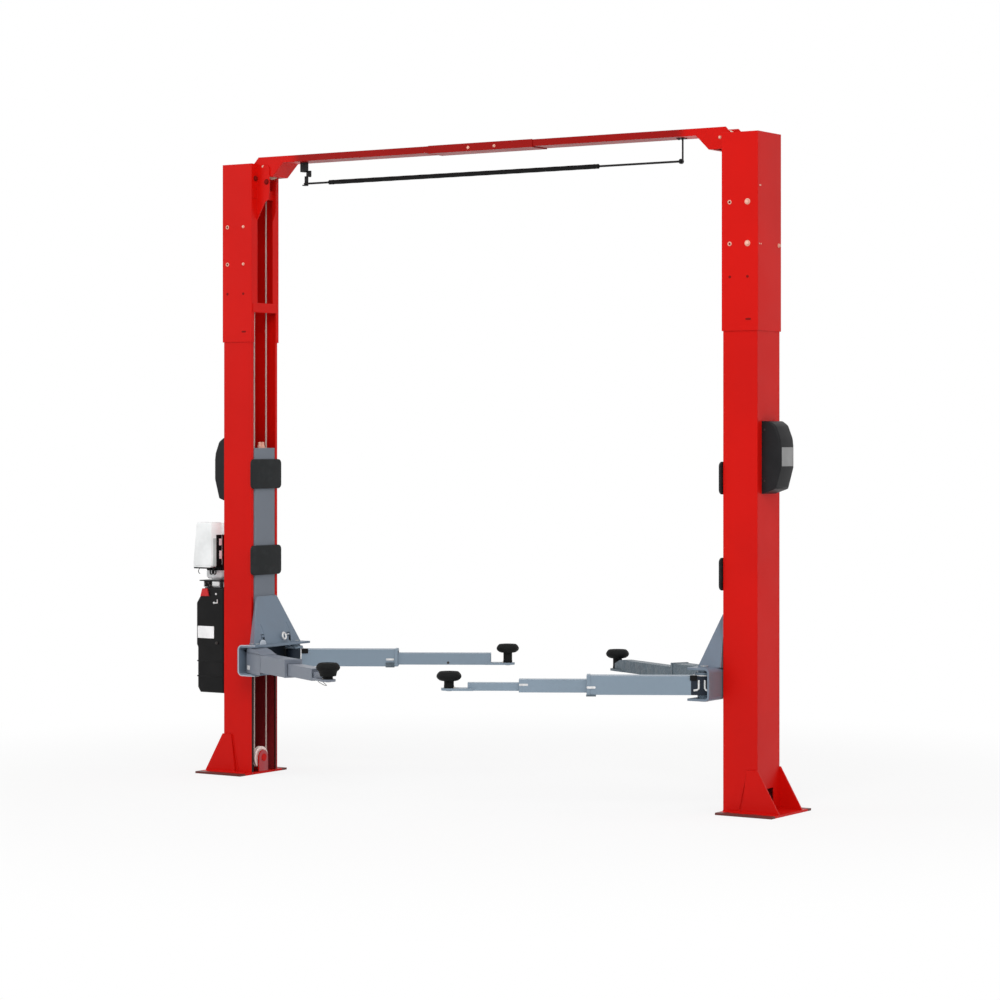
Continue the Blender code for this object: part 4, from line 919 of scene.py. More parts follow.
@dataclass
class Studio:
    """A pale floor, a white surround, soft lamps and the photograph's camera.

    Attributes:
        eye: Where the camera stands.
        heading: How far it is turned from +Y towards -X, in degrees.
        lens: Focal length in millimetres, on a 36 mm sensor.
        horizon: Row of the horizon in the photograph, in pixels.
        side: Side of the photograph in pixels.
        ambient: Strength of the surround as light.
        glow: How far the floor's own white covers its shading.
        floor_reach: Half the floor's side.
        floor_drop: How far the floor lies under the base plates.
        centre: The lift's middle, which the lamps face.
        fade: Distances from it between which the floor fades into the surround.
    """

    eye: Point = (10.754, -13.7147, 1.985)
    heading: float = 33.227
    lens: float = 105.24
    horizon: float = 437.855
    side: int = 1000
    ambient: float = 0.52
    glow: float = 0.80
    floor_reach: float = 60.0
    floor_drop: float = 0.0004
    centre: Point = (1.68, 0.0, 1.6)
    fade: tuple[float, float] = (2.2, 5.0)

    def build(self) -> None:
        """Makes everything that isn't the lift."""
        self.camera()
        self.world()
        self.floor()
        self.lamp("key", (6.0, -9.0, 8.5), 5.0, 450.0)
        self.lamp("fill", (12.0, -2.0, 5.0), 5.0, 85.0)
        self.lamp("left", (-7.0, -7.0, 5.0), 5.0, 95.0)
        self.lamp("top", (1.7, 0.0, 9.0), 6.0, 130.0)

    def camera(self) -> None:
        """The camera, level, with the shift that the photograph's framing needs."""
        data = bpy.data.cameras.new("camera")
        data.sensor_width = 36.0
        data.lens = self.lens
        data.shift_y = (self.horizon - self.side / 2) / self.side
        data.clip_end = 200.0
        made = bpy.data.objects.new("camera", data)
        made.location = self.eye
        made.rotation_euler = (math.radians(90), 0.0, math.radians(self.heading))
        bpy.context.collection.objects.link(made)
        bpy.context.scene.camera = made
        bpy.context.scene.view_settings.view_transform = "Standard"

    def seen(self, graph: Graph) -> Signal:
        """1 where the camera looks, directly or in gloss or glass."""
        kinds = ("Is Camera Ray", "Is Glossy Ray", "Is Transmission Ray")
        camera, gloss, glass = (graph.node("ShaderNodeLightPath", output=kind) for kind in kinds)
        return camera.at_least(gloss).at_least(glass)

    def world(self) -> None:
        """A white surround, which lights the lift more weakly than it shows."""
        world = bpy.data.worlds.new("surround")
        world.use_nodes = True
        bpy.context.scene.world = world
        graph = Graph(world.node_tree)
        strength = self.seen(graph) * (1.0 - self.ambient) + self.ambient
        light = graph.node("ShaderNodeBackground", None, {"Color": WHITE, "Strength": strength})
        graph.node("ShaderNodeOutputWorld", None, {"Surface": light})

    def floor(self) -> None:
        """A wide floor that shows the lift's shadow near it and fades into the surround."""
        form = Form()
        bmesh.ops.create_grid(form.mesh, x_segments=2, y_segments=2, size=self.floor_reach)
        form.moved(Matrix.Translation((0.0, 0.0, -self.floor_drop)))
        data = bpy.data.meshes.new("floor")
        form.mesh.to_mesh(data)
        form.mesh.free()
        made = bpy.data.objects.new("floor", data)
        bpy.context.collection.objects.link(made)
        material = bpy.data.materials.new("pale_floor")
        material.use_nodes = True
        data.materials.append(material)
        graph = Graph(material.node_tree)
        pair = {0: graph.place(), 1: (self.centre[0], self.centre[1], 0.0)}
        centred = graph.node("ShaderNodeVectorMath", {"operation": "SUBTRACT"}, pair)
        distance = graph.node("ShaderNodeVectorMath", {"operation": "LENGTH"}, {0: centred}, "Value")
        far = distance.ramp(*self.fade)
        paint = graph.node("ShaderNodeBsdfDiffuse", None, {"Color": (0.93, 0.93, 0.93, 1.0)})
        glow = graph.node("ShaderNodeEmission", None, {"Color": WHITE, "Strength": 1.0})
        near = graph.node("ShaderNodeMixShader", None, {0: self.glow, 1: paint, 2: glow})
        faded = graph.node("ShaderNodeMixShader", None, {0: far, 1: near, 2: glow})
        both = graph.node("ShaderNodeMixShader", None, {0: self.seen(graph), 1: paint, 2: faded})
        graph.node("ShaderNodeOutputMaterial", None, {"Surface": both})
        made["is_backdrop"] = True

    def lamp(self, name: str, place: Point, size: float, power: float) -> None:
        """A square soft lamp that faces the middle of the lift.

        Args:
            name: Its name.
            place: Where it hangs.
            size: Its side in metres.
            power: Its power in watts.
        """
        data = bpy.data.lights.new(name, "AREA")
        data.size = size
        data.energy = power
        made = bpy.data.objects.new(name, data)
        made.location = place
        aim = Vector(self.centre) - Vector(place)
        made.rotation_euler = aim.to_track_quat("-Z", "Y").to_euler()
        bpy.context.collection.objects.link(made)


def steps_between(low: float, high: float, pitch: float) -> list[float]:
    """Even steps from low to high, about a pitch apart."""
    count = max(2, round(abs(high - low) / pitch))
    return [low + (high - low) * k / count for k in range(count + 1)]


def bead(start: Point, end: Point, radius: float) -> Form:
    """A weld bead between two points, with the ripples of the arc."""
    start, end = Vector(start), Vector(end)
    shares = steps_between(0.0, 1.0, radius * 1.1 / (end - start).length)
    return Form().sweep([start.lerp(end, share) for share in shares], radius, 8, 0.25)


@dataclass(frozen=True)
class Bolt:
    """A hexagon bolt with a washer.

    Attributes:
        flats: Width across the flats.
        height: Height of the head.
        washer: Radius of the washer.
        washer_height: Thickness of the washer.
    """

    flats: float = 0.013
    height: float = 0.006
    washer: float = 0.010
    washer_height: float = 0.0016

    def form(self, place: Point, direction: Point) -> Form:
        """The head and washer on a face.

        Args:
            place: Where its axis meets the face.
            direction: The way out of the face.

        Returns:
            A form of its own.
        """
        place, out = Vector(place), Vector(direction).normalized()
        seat = place + out * self.washer_height
        washer = Form().rod(place - out * 0.0005, seat, self.washer, sides=24)
        head = Form().rod(seat, seat + out * self.height, self.flats / math.sqrt(3), sides=6)
        head.bevel(self.flats * 0.05, 2)
        return washer.bevel(self.washer_height * 0.3, 1).add(head)

    def bushing(self, place: Point, direction: Point) -> Form:
        """An open ring on a face, as round a through hole."""
        radius = self.washer
        profile = [(-0.0005, 0.5 * radius), (-0.0005, radius), (0.0024, radius), (0.0034, 0.86 * radius)]
        profile += [(0.0034, 0.62 * radius), (-0.0005, 0.5 * radius)]
        return Form().turned(profile, place, direction, 24)


SMALL_BOLT = Bolt(0.012, 0.005, 0.009)


@dataclass(frozen=True)
class Post:
    """A post's place in the world.

    Attributes:
        side: left or right.
    """

    side: str

    @property
    def sign(self) -> int:
        """1 where the post's frame is the world's, -1 where it is turned half a turn."""
        return 1 if self.side == "left" else -1

    @property
    def axis(self) -> float:
        """The post's axis along X, half way between the flanges' edges of its column."""
        low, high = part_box(f"{self.side}_column")
        return (low.x + high.x) / 2

    def matrix(self) -> Matrix:
        """The post's own frame."""
        turn = Matrix.Rotation(0.0 if self.sign > 0 else math.pi, 4, "Z")
        return Matrix.Translation((self.axis, 0.0, 0.0)) @ turn

    def fit(
        self, form: Form, name: str, look: Look, body: str = "frame", smooth: float = 35.0
    ) -> bpy.types.Object:
        """Turns a form into the post's frame and makes it a piece named after the post.

        Args:
            form: The form, in the post's own frame.
            name: The piece's name after the post's side.
            look: Its finish.
            body: The body that it rides on.
            smooth: Edges sharper than this angle, in degrees, stay sharp.

        Returns:
            The piece.
        """
        return form.moved(self.matrix()).piece(f"{self.side}_{name}", look, body, smooth)


@dataclass(frozen=True)
class RopeRun:
    """Where the rope runs down a post, in the post's own frame.

    Attributes:
        x: Distance of the rope's plane from the post's axis.
        half_spacing: Half the distance between the rope's two runs.
        pitch: Radius of the rope on a top sheave.
        top: Height of the top sheaves' pin.
        foot: Height of the base sheave's pin.
    """

    x: float = 0.070
    half_spacing: float = 0.057
    pitch: float = 0.045
    top: float = 3.5693
    foot: float = 0.094


@dataclass
class PostDress:
    """The fixed metalwork: posts, extensions and base plates, in the post's own frame.

    Attributes:
        post: The post.
        bolt_offsets: Distances along X from the post's axis of the two columns of bolts in the sleeve.
        sleeve_bolt: The bolts of the right-hand column, where the left-hand one has open rings.
        bolt_heights: Heights of the sleeve bolts.
        hole_height: Height of the open holes.
        web_bolt_heights: Heights of the bolts in the web's edges.
        web_bolt_offset: Distance of the web bolts from the web's middle.
    """

    post: Post
    bolt_offsets: tuple[float, float]
    sleeve_bolt: Bolt
    bolt_heights: tuple[float, float] = (3.230, 3.010)
    hole_height: float = 2.835
    web_bolt_heights: tuple[float, float] = (3.315, 3.007)
    web_bolt_offset: float = 0.103

    def build(self) -> None:
        """Dresses the nodes and adds bolts, slots and welds; the flanges' slots and the holes are painted
        shade.
        """
        side = self.post.side
        dress(Look.RED, f"{side}_extension")
        dress(Look.BEAM_RED, f"{side}_beam")
        dress(Look.POST_RED, f"{side}_column")
        dress(Look.PLATE_RED, f"{side}_base")
        self.sleeve_bolts()
        self.web_bolts()
        self.slots()
        self.welds()
        self.ear_bolts()

    @property
    def face(self) -> float:
        """How far the sleeve's flanges stand out along Y."""
        low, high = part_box(f"{self.post.side}_extension")
        return max(abs(low.y), abs(high.y))

    def sleeve_bolts(self) -> None:
        """Bolts that hold the sleeve to the column, rings round the through holes with discs of painted
        shade in them, and open holes as discs of painted shade.
        """
        face = self.face
        rings, bolts, hole_shade = Form(), Form(), Form()
        for facing in (-1, 1):
            out = (0, facing, 0)
            left, right = (self.post.axis + offset for offset in self.bolt_offsets)
            for z in self.bolt_heights:
                rings.add(Bolt(washer=0.0115).bushing((left, facing * face, z), out))
                # Dark discs in the red's shaded copy paint the shade inside the holes
                hole_shade.rod((left, facing * face, z), (left, facing * (face + 0.0012), z), 0.0055)
                bolts.add(self.sleeve_bolt.form((right, facing * face, z), out))
            for x in (left, right):
                start = (x, facing * (face - 0.0004), self.hole_height)
                hole_shade.rod(start, (x, facing * (face + 0.0004), self.hole_height), 0.0075)
        rings.piece(f"{self.post.side}_sleeve_rings", Look.RED_REFLECTING_STEEL)
        bolts.piece(f"{self.post.side}_sleeve_bolts", Look.RED_REFLECTING_STEEL)
        hole_shade.piece(f"{self.post.side}_sleeve_hole_shade", Look.RED_SHADE)

    def web_bolts(self) -> None:
        """A bolt through the sleeve's web near its far edge, and slots near the other edge."""
        low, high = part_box(f"{self.post.side}_extension")
        web = high.x if self.post.sign < 0 else low.x
        out = -self.post.sign
        upper, lower = self.web_bolt_heights
        bolt = Bolt(0.015, 0.008, 0.0115).form((web, self.web_bolt_offset, lower), (out, 0, 0))
        bolt.piece(f"{self.post.side}_web_bolt", Look.RED_REFLECTING_STEEL)
        marks = Form()
        for height, spot, half in ((upper, 0.0, 0.010), (lower, -0.009, 0.0055), (lower, 0.009, 0.0055)):
            y = -self.web_bolt_offset + spot
            outline = rounded((y - half, height - 0.0035), (y + half, height + 0.0035), 0.0034, 5)
            marks.slab([(web + out * 0.0003, a, b) for a, b in outline], (-out * 0.0008, 0.0, 0.0))
        marks.moved(Matrix.Translation((out * 0.0003, 0.0, 0.0)))
        marks.piece(f"{self.post.side}_web_marks", Look.RED_REFLECTING_STEEL)

    def slots(self) -> None:
        """The slot in the sleeve's flanges near its foot, as a thin plate of painted shade."""
        slot_shade = Form()
        for facing in (-1, 1):
            outline = rounded((0.034, 2.606), (0.066, 2.616), 0.0049, 5)
            start = facing * (self.face - 0.0003)
            slot_shade.slab([(x, start, z) for x, z in outline], (0.0, facing * 0.0007, 0.0))
        slot_shade.moved(Matrix.Translation((self.post.axis, 0.0, 0.0)))
        slot_shade.piece(f"{self.post.side}_sleeve_slot_shade", Look.RED_SHADE)

    def welds(self) -> None:
        """Beads round the post's foot, along the gussets and under the tie."""
        column_low, column_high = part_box(f"{self.post.side}_column")
        half = column_high.y
        depth = (column_high.x - column_low.x) / 2
        tie, tie_low = depth + 0.0008, 2.7795
        beads = Form()
        top = 0.0122
        for facing in (-1, 1):
            gusset, flank = facing * (half + 0.0103), facing * (half + 0.0015)
            edge, inner = facing * half, facing * (half - 0.020)
            beads.add(bead((-depth - 0.110, gusset, top), (0.060, gusset, top), 0.0038))
            beads.add(bead((0.004, flank, 0.030), (-0.042, flank, 0.234), 0.003))
            beads.add(bead((depth, edge, top), (depth, inner, top), 0.0035))
            beads.add(bead((0.062, edge, top), (depth, edge, top), 0.0035))
        beads.add(bead((tie, -0.105, tie_low), (tie, 0.105, tie_low), 0.0025))
        self.post.fit(beads, "welds", Look.RED)

    def ear_bolts(self) -> None:
        """Bolts through the ears, in the red's shaded copy as painted shade, and small ones in the beam's
        cheeks.
        """
        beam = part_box(f"{self.post.side}_beam")[1].y
        dark = Form()
        bolt = Bolt(0.022, 0.008, 0.0165, 0.002)
        for y in (-0.095, 0.095):
            dark.add(bolt.form((0.1083, y, 3.514), X_AXIS))
        dark.add(bolt.form((0.181, -(beam + 0.0063), 3.491), FRONTWARDS))
        # The ear bolts wear the red's shaded copy: painted shade
        self.post.fit(dark, "ear_bolts", Look.RED_SHADE)
        bright = Form()
        for out in (-1, 1):
            bright.add(SMALL_BOLT.form((0.150, out * beam, 3.583), (0, out, 0)))
        self.post.fit(bright, "cheek_bolts", Look.RED_REFLECTING_STEEL)


@dataclass
class Sheaves:
    """The smooth grooved wheels that stand for the plain ones.

    Attributes:
        post: The post.
        run: Where the rope runs.
        lip: How far the rim stands past the rope's middle.
        seat: Radius of the groove.
    """

    post: Post
    run: RopeRun = RopeRun()
    lip: float = 0.007
    seat: float = 0.0057

    def wheel(
        self, pitch: float, half: float, hub: float, web: float, bore: float
    ) -> list[tuple[float, float]]:
        """The section of a wheel with a round groove.

        Args:
            pitch: Radius of the rope's middle.
            half: Half the width of the rim.
            hub: Radius of the hub.
            web: Half the thickness between hub and rim.
            bore: Radius of the bore.

        Returns:
            Pairs of place along the axis and radius, a closed ring.
        """
        rim = pitch + self.lip
        shoulder = rim - 0.016
        side = [(-half, bore), (-half, hub), (-web, hub + 0.002), (-web, shoulder - 0.003)]
        side += [(-half, shoulder), (-half, rim - 0.001), (-half + 0.001, rim)]
        groove = arc((0.0, pitch), self.seat, 180, 360, 10)
        groove = [(-self.seat - 0.0008, rim), *groove, (self.seat + 0.0008, rim)]
        return side + groove + [(-along, radius) for along, radius in reversed(side)] + [side[0]]

    def build(self) -> None:
        """Makes both top sheaves with their pin, the base sheave and its bracket's cover."""
        side, run = self.post.side, self.run
        centre = Vector((run.x + run.pitch, 0.0, run.top))
        section = self.wheel(run.pitch, 0.009, 0.018, 0.0045, 0.010)
        wheels = Form()
        for y in (-run.half_spacing, run.half_spacing):
            wheels.turned(section, centre + Vector((0.0, y, 0.0)), Y_AXIS, 56)
        top = self.post.fit(wheels, "top_wheels", Look.CREAM, f"{side}_top_sheaves")
        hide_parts(f"{side}_top_sheaves")
        half = [(0.0735, 0.0), (0.0735, 0.0088), (0.0723, 0.010), (0.068, 0.010), (0.068, 0.0172)]
        profile = [(-along, radius) for along, radius in half] + half[::-1]
        pin = Form().turned(profile, centre, Y_AXIS, 32)
        self.post.fit(pin, "top_pin", Look.OILED, f"{side}_top_sheaves")
        axle = Vector((run.x, 0.0, run.foot))
        section = self.wheel(run.half_spacing, 0.0105, 0.024, 0.006, 0.0103)
        foot = Form().turned(section, axle, X_AXIS, 64)
        half = [(0.015, 0.0103), (0.015, 0.020), (0.0105, 0.023)]
        profile = [(-along, radius) for along, radius in half] + half[::-1] + [(-0.015, 0.0103)]
        foot.add(Form().turned(profile, axle, X_AXIS, 48))
        base = self.post.fit(foot, "base_wheel", Look.PALE_NYLON, f"{side}_base_sheave")
        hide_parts(f"{side}_base_sheave")
        self.bracket_cover()

    def bracket_cover(self) -> None:
        """The cover plate and the pin's cap on the base sheave's bracket."""
        near, radius, low = self.run.x + 0.0262, 0.0425, 0.0140
        outline = [(-radius, low), (radius, low), *arc((0.0, self.run.foot), radius, 0, 180, 24)]
        cover = Form().slab([(near, y, z) for y, z in outline], (0.0012, 0.0, 0.0)).bevel(0.0005, 2)
        cap = [(0.0010, 0.0215), (0.0010, 0.0300), (0.0022, 0.0300), (0.0030, 0.0285), (0.0030, 0.0235)]
        cover.turned([*cap, cap[0]], (near, 0.0, self.run.foot), X_AXIS, 40)
        self.post.fit(cover, "bracket_cover", Look.BRACKET_HIGHLIGHT)


@dataclass
class EqualiserRope:
    """The rope's whole loop as laid strands.

    Attributes:
        run: Where the rope runs.
        radius: The rope's radius.
    """

    run: RopeRun = RopeRun()
    radius: float = 0.0053

    def path(self) -> list[Vector]:
        """The rope's middle, from the middle of the beam and back to it."""
        run = self.run
        corner = arc((run.x + run.pitch, run.top), run.pitch, 90, 180, 12)
        foot = arc((0.0, run.foot), run.half_spacing, 180, 360, 32)
        left = [Vector((x, -run.half_spacing, z)) for x, z in corner]
        left += [Vector((run.x, y, z)) for y, z in foot]
        left += [Vector((x, run.half_spacing, z)) for x, z in reversed(corner)]
        right = [Vector((POST_SPACING - p.x, -p.y, p.z)) for p in left]
        rise = run.top + run.pitch
        start = Vector((MIDDLE, -run.half_spacing, rise))
        middle = Vector((MIDDLE, run.half_spacing, rise))
        return [start, *left, middle, *right, start]

    def build(self) -> None:
        """Sweeps the rope and lays its UV map."""
        rope = Form().sweep(self.path(), self.radius, 14, uv_map="rope")
        piece = rope.piece("laid_rope", Look.ROPE, smooth=60.0)
        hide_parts("equaliser_rope")


@dataclass
class Beam:
    """The overhead beam's splice, and the stop bar and its switch below.

    Attributes:
        bolt_places: Places of the splice bolts along the beam.
        bolt_height: Their height.
        bar_height: Height of the stop bar.
        foam: First and last end of the foam sleeve.
        foam_radius: Its radius.
    """

    bolt_places: tuple[float, ...] = (1.6065, 1.7813)
    bolt_height: float = 3.616
    bar_height: float = 3.475
    foam: tuple[float, float] = (0.578, 2.420)
    foam_radius: float = 0.0135

    def build(self) -> None:
        """Dresses the beam's splice and the stop bar."""
        dress(Look.BEAM_RED, "beam_splice")
        dress(Look.BLACK, "stop_bar", "stop_bar_hanger")
        dress(Look.COVER, "stop_switch")
        self.splice_bolts()
        self.foam_sleeve()
        self.switch_parts()

    def splice_bolts(self) -> None:
        """Bolts through both flanges of the splice."""
        low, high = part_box("beam_splice")
        bolts = Form()
        for x in self.bolt_places:
            bolts.add(SMALL_BOLT.form((x, low.y, self.bolt_height), FRONTWARDS))
            bolts.add(SMALL_BOLT.form((x, high.y, self.bolt_height), Y_AXIS))
        bolts.piece("splice_bolts", Look.RED_REFLECTING_STEEL)
        seams = Form()
        z = low.z + 0.0005
        for x in (low.x, high.x):
            seams.add(bead((x, low.y + 0.002, z), (x, high.y - 0.002, z), 0.002))
        seams.piece("splice_welds", Look.BEAM_RED)

    def foam_sleeve(self) -> None:
        """The foam sleeve, a little uneven along its length, with a tie at each end."""
        start, end = self.foam
        profile = [(start, 0.0064), (start, self.foam_radius - 0.004), (start + 0.004, self.foam_radius)]
        for k, x in enumerate(steps_between(start + 0.02, end - 0.02, 0.03)):
            profile.append((x, self.foam_radius - 0.0005 - 0.0004 * math.sin(1.7 * k)))
        profile += [(end - 0.004, self.foam_radius), (end, self.foam_radius - 0.004)]
        profile += [(end, 0.0064), (start, 0.0064)]
        foam = Form().turned(profile, (0.0, 0.0, self.bar_height), X_AXIS, 32)
        piece = foam.piece("foam_sleeve", Look.FOAM, "stop_bar")
        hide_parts("stop_bar_sleeve")
        ties = Form()
        band = [(-0.0025, 0.0125), (-0.0025, 0.0138), (0.0025, 0.0138), (0.0025, 0.0125)]
        for x in (start + 0.030, end - 0.030):
            ties.turned([*band, band[0]], (x, 0.0, self.bar_height), X_AXIS, 28)
        ties.piece("foam_ties", Look.TANK, "stop_bar")

    def switch_parts(self) -> None:
        """The switch's screws and roller, and the hanger's bolts."""
        low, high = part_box("stop_switch")
        screws = Form()
        for z in (high.z - 0.012, high.z - 0.045):
            place = (low.x + 0.020, low.y, z)
            screws.add(Bolt(0.006, 0.003, 0.005, 0.0008).form(place, FRONTWARDS))
        hanger_low, hanger_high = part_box("stop_bar_hanger")
        for x in (hanger_low.x + 0.009, hanger_high.x - 0.009):
            place = (x, -0.006, hanger_high.z - 0.004)
            screws.add(Bolt(0.010, 0.005, 0.008, 0.0012).form(place, (0, 0, -1)))
        screws.piece("switch_screws", Look.OILED)
        half = [(0.0053, 0.0), (0.0053, 0.0065), (0.004, 0.008)]
        profile = [(-along, radius) for along, radius in half] + half[::-1]
        roller = Form().turned(profile, (high.x - 0.008, 0.0135, 3.5215), Y_AXIS, 28)
        roller.piece("switch_roller", Look.TANK)


@dataclass
class Cylinder:
    """A lifting cylinder as turned and welded parts.

    Attributes:
        post: The post it stands in.
        x: Distance of its axis from the post's.
        radius: Radius of the barrel.
        bore: Radius of the open end.
        low: Height of its foot.
        high: Height of its gland.
    """

    post: Post
    x: float = -0.0275
    radius: float = 0.035
    bore: float = 0.021
    low: float = 0.0123
    high: float = 1.405

    def build(self) -> None:
        """Makes the barrel and the gland nut, and gives the rod its chrome."""
        side = self.post.side
        dress(Look.CHROME, f"{side}_cylinder_rod")
        gland = self.high - 0.040
        profile = [(self.low, 0.0), (self.low, 0.040), (self.low + 0.001, 0.041), (self.low + 0.028, 0.041)]
        profile += [(self.low + 0.031, 0.0385), (self.low + 0.034, self.radius), (gland, self.radius)]
        profile += [(gland, self.bore), (0.0330, self.bore), (0.0330, 0.0)]
        barrel = Form().turned(profile, (self.x, 0.0, 0.0), Z_AXIS, 56)
        piece = self.post.fit(barrel, "barrel", Look.BLACK)
        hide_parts(f"{side}_cylinder")
        nut = [(gland, self.bore), (gland, 0.0375), (gland + 0.0015, 0.038), (gland + 0.012, 0.038)]
        nut += [(gland + 0.0135, 0.0368), (gland + 0.0150, 0.038), (self.high - 0.002, 0.038)]
        nut += [(self.high, 0.036), (self.high, self.bore + 0.001), (self.high - 0.003, self.bore)]
        gland_nut = Form().turned([*nut, nut[0]], (self.x, 0.0, 0.0), Z_AXIS, 56)
        self.post.fit(gland_nut, "gland_nut", Look.OILED)


@dataclass
class LockCover:
    """The moulded cover over a safety lock, with its grey outer panel.

    Attributes:
        post: The post.
        top: Height of its upper end.
        height: Its height.
        reach: How far it stands off the web.
        half: Half its width.
        wall: Distance of the web's face from the post's axis.
        silhouette: Its outline from the side, as shares of the reach and of the height from the top.
    """

    post: Post
    top: float
    height: float = 0.385
    reach: float = 0.112
    half: float = 0.077
    wall: float = 0.1028
    silhouette: tuple[tuple[float, float], ...] = (
        (0.0, 0.0),
        (0.42, 0.0),
        (0.72, 0.06),
        (0.96, 0.24),
        (1.0, 0.34),
        (1.0, 0.64),
        (0.72, 0.93),
        (0.0, 1.0),
    )

    def build(self) -> None:
        """Makes the shell, the panel and the screws."""
        side = self.post.side
        outline = [
            (-self.wall - share * self.reach, -self.half, self.top - drop * self.height)
            for share, drop in self.silhouette
        ]
        shell = Form().slab(outline, (0.0, 2 * self.half, 0.0))
        away = [e for e in shell.mesh.edges if all(v.co.x < -self.wall - 0.001 for v in e.verts)]
        shell.round_edges(away, 0.012, 5)
        piece = self.post.fit(shell, "cover_shell", Look.COVER, smooth=40.0)
        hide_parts(f"{side}_lock_cover")
        face = -self.wall - self.reach
        high, low = (self.top - drop * self.height for drop in (0.36, 0.62))
        inset = self.half - 0.014
        panel = Form().block((face - 0.0008, -inset, low), (face + 0.004, inset, high))
        self.post.fit(panel.bevel(0.0007, 1), "cover_panel", Look.COVER_TRIM)
        screws = Form()
        for facing in (-1, 1):
            for drop in (0.12, 0.82):
                place = (-self.wall - 0.016, facing * self.half, self.top - drop * self.height)
                screws.add(Bolt(0.007, 0.0025, 0.0062, 0.0008).form(place, (0, facing, 0)))
        self.post.fit(screws, "cover_screws", Look.OILED)


@dataclass
class Carriage:
    """A carriage's studs, beads, guards and yoke fittings, in its post's own frame.

    Attributes:
        post: The post.
        top: Height of the tube's upper end.
        front: The tube's face.
        guard_tops: Heights of the guards' upper edges.
        guard_size: Width, height, thickness and corner radius of a guard.
        guard_inset: How far its rim stays inside the plain one's.
        yoke: Lower and upper face of the yoke.
    """

    post: Post
    top: float = 1.925
    front: float = 0.1088
    guard_tops: tuple[float, float] = (1.862, 1.353)
    guard_size: tuple[float, float, float, float] = (0.286, 0.174, 0.0118, 0.027)
    guard_inset: float = 0.003
    yoke: tuple[float, float] = (0.597, 0.773)

    def build(self) -> None:
        """Dresses the carriage and adds its small parts."""
        dress(Look.GREY, f"{self.post.side}_carriage")
        self.guards()
        self.rope_studs()
        self.beads()
        self.pin_caps()
        self.wall_shadow()
        self.slot_fills()
        self.foot_tabs()

    def ride(self, form: Form, name: str, look: Look, smooth: float = 35.0) -> bpy.types.Object:
        """Turns a form into the post's frame and fixes it to the carriage."""
        return self.post.fit(form, name, look, f"{self.post.side}_carriage", smooth)

    def guards(self) -> None:
        """Rubber guards with soft edges."""
        width, height, thickness, corner = self.guard_size
        face = self.front + 0.0003
        for label, top in zip(("upper", "lower"), self.guard_tops):
            high = top - self.guard_inset
            outline = rounded((-width / 2, high - height), (width / 2, high), corner, 8)
            guard = Form().slab([(face, y, z) for y, z in outline], (thickness, 0.0, 0.0))
            rim = [e for e in guard.mesh.edges if all(v.co.x > face + thickness / 2 for v in e.verts)]
            guard.round_edges(rim, 0.0045, 4, clamp=False)
            piece = self.ride(guard, f"{label}_guard_pad", Look.GUARD, 50.0)
            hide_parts(f"{self.post.side}_guard_{label}")

    def rope_studs(self) -> None:
        """Threaded rope ends with nuts on the top plate, beside the rope's holes."""
        low = self.top
        profile = [(low - 0.001, 0.0), (low - 0.001, 0.0150), (low + 0.002, 0.0150), (low + 0.002, 0.0130)]
        profile += [(low + 0.013, 0.0130), (low + 0.014, 0.0120)]
        profile += [(low + 0.0145 + 0.0016 * k, 0.0105 - 0.0009 * (k % 2)) for k in range(12)]
        profile += [(low + 0.035, 0.0085), (low + 0.036, 0.0)]
        studs = Form()
        for y in (-0.01425, 0.01425):
            studs.turned(profile, (0.078, y, 0.0), Z_AXIS, 24)
        self.ride(studs, "rope_studs", Look.RED_REFLECTING_STEEL)

    def beads(self) -> None:
        """Weld beads round the flared bracket and at the tube's foot, with a painted highlight on the
        flare's top bead and round the yoke's front edge.
        """
        foot = self.yoke[1] + 0.001
        run = Form()
        run.add(bead((0.203, -0.214, foot), (0.203, 0.214, foot), 0.0032))
        for facing in (-1, 1):
            run.add(bead((0.108, facing * 0.146, foot), (0.202, facing * 0.215, foot), 0.003))
            y = facing * 0.0955
            run.add(bead((self.front, y, 1.052), (self.front, y, 1.040), 0.0025))
        self.ride(run, "beads", Look.GREY)
        if self.post.sign > 0:
            self.ride(self.yoke_edge_highlight(), "yoke_edge_highlight", Look.PALE_GREY)
        # The top bead's pale grey is a painted highlight along the flare's top
        top = bead((self.front + 0.005, -0.090, 1.038), (self.front + 0.005, 0.090, 1.038), 0.0030)
        self.ride(top, "top_bead_highlight", Look.PALE_GREY)

    def yoke_edge_highlight(self) -> Form:
        """A pale rod round the yoke's front end: a painted highlight along its edge."""
        (low, high), y, corner = self.yoke, -0.2652, 0.026
        back = self.front + 0.0077
        section = [(0.240, high), *arc((back + corner, high - corner), corner, 90, 180, 8)]
        section += [*arc((back + corner, low + corner), corner, 180, 270, 8), (0.240, low)]
        return Form().sweep([Vector((x, y, z)) for x, z in section], 0.0030, 10)

    def pin_caps(self) -> None:
        """Retaining rings and grease nipples on the arm pins, and washers under them."""
        low, high = self.yoke[0] - 0.004, self.yoke[1] + 0.0058
        ring = [(high, 0.012), (high, 0.025), (high + 0.0016, 0.0245), (high + 0.0016, 0.0125)]
        nipple = [(high - 0.001, 0.0), (high - 0.001, 0.0055), (high + 0.004, 0.0055)]
        nipple += [(high + 0.005, 0.0032), (high + 0.009, 0.0032), (high + 0.0105, 0.0042)]
        nipple += [(high + 0.0125, 0.003), (high + 0.013, 0.0)]
        washer = [(low - 0.002, 0.0), (low - 0.002, 0.024), (low - 0.0004, 0.0255)]
        washer += [(low + 0.004, 0.0255), (low + 0.004, 0.0)]
        caps = Form()
        x, half = PIVOT
        for y in (-half, half):
            for profile, sides in (([*ring, ring[0]], 36), (nipple, 20), (washer, 36)):
                caps.turned(profile, (x, y, 0.0), Z_AXIS, sides)
        self.ride(caps, "pin_caps", Look.ZINC)

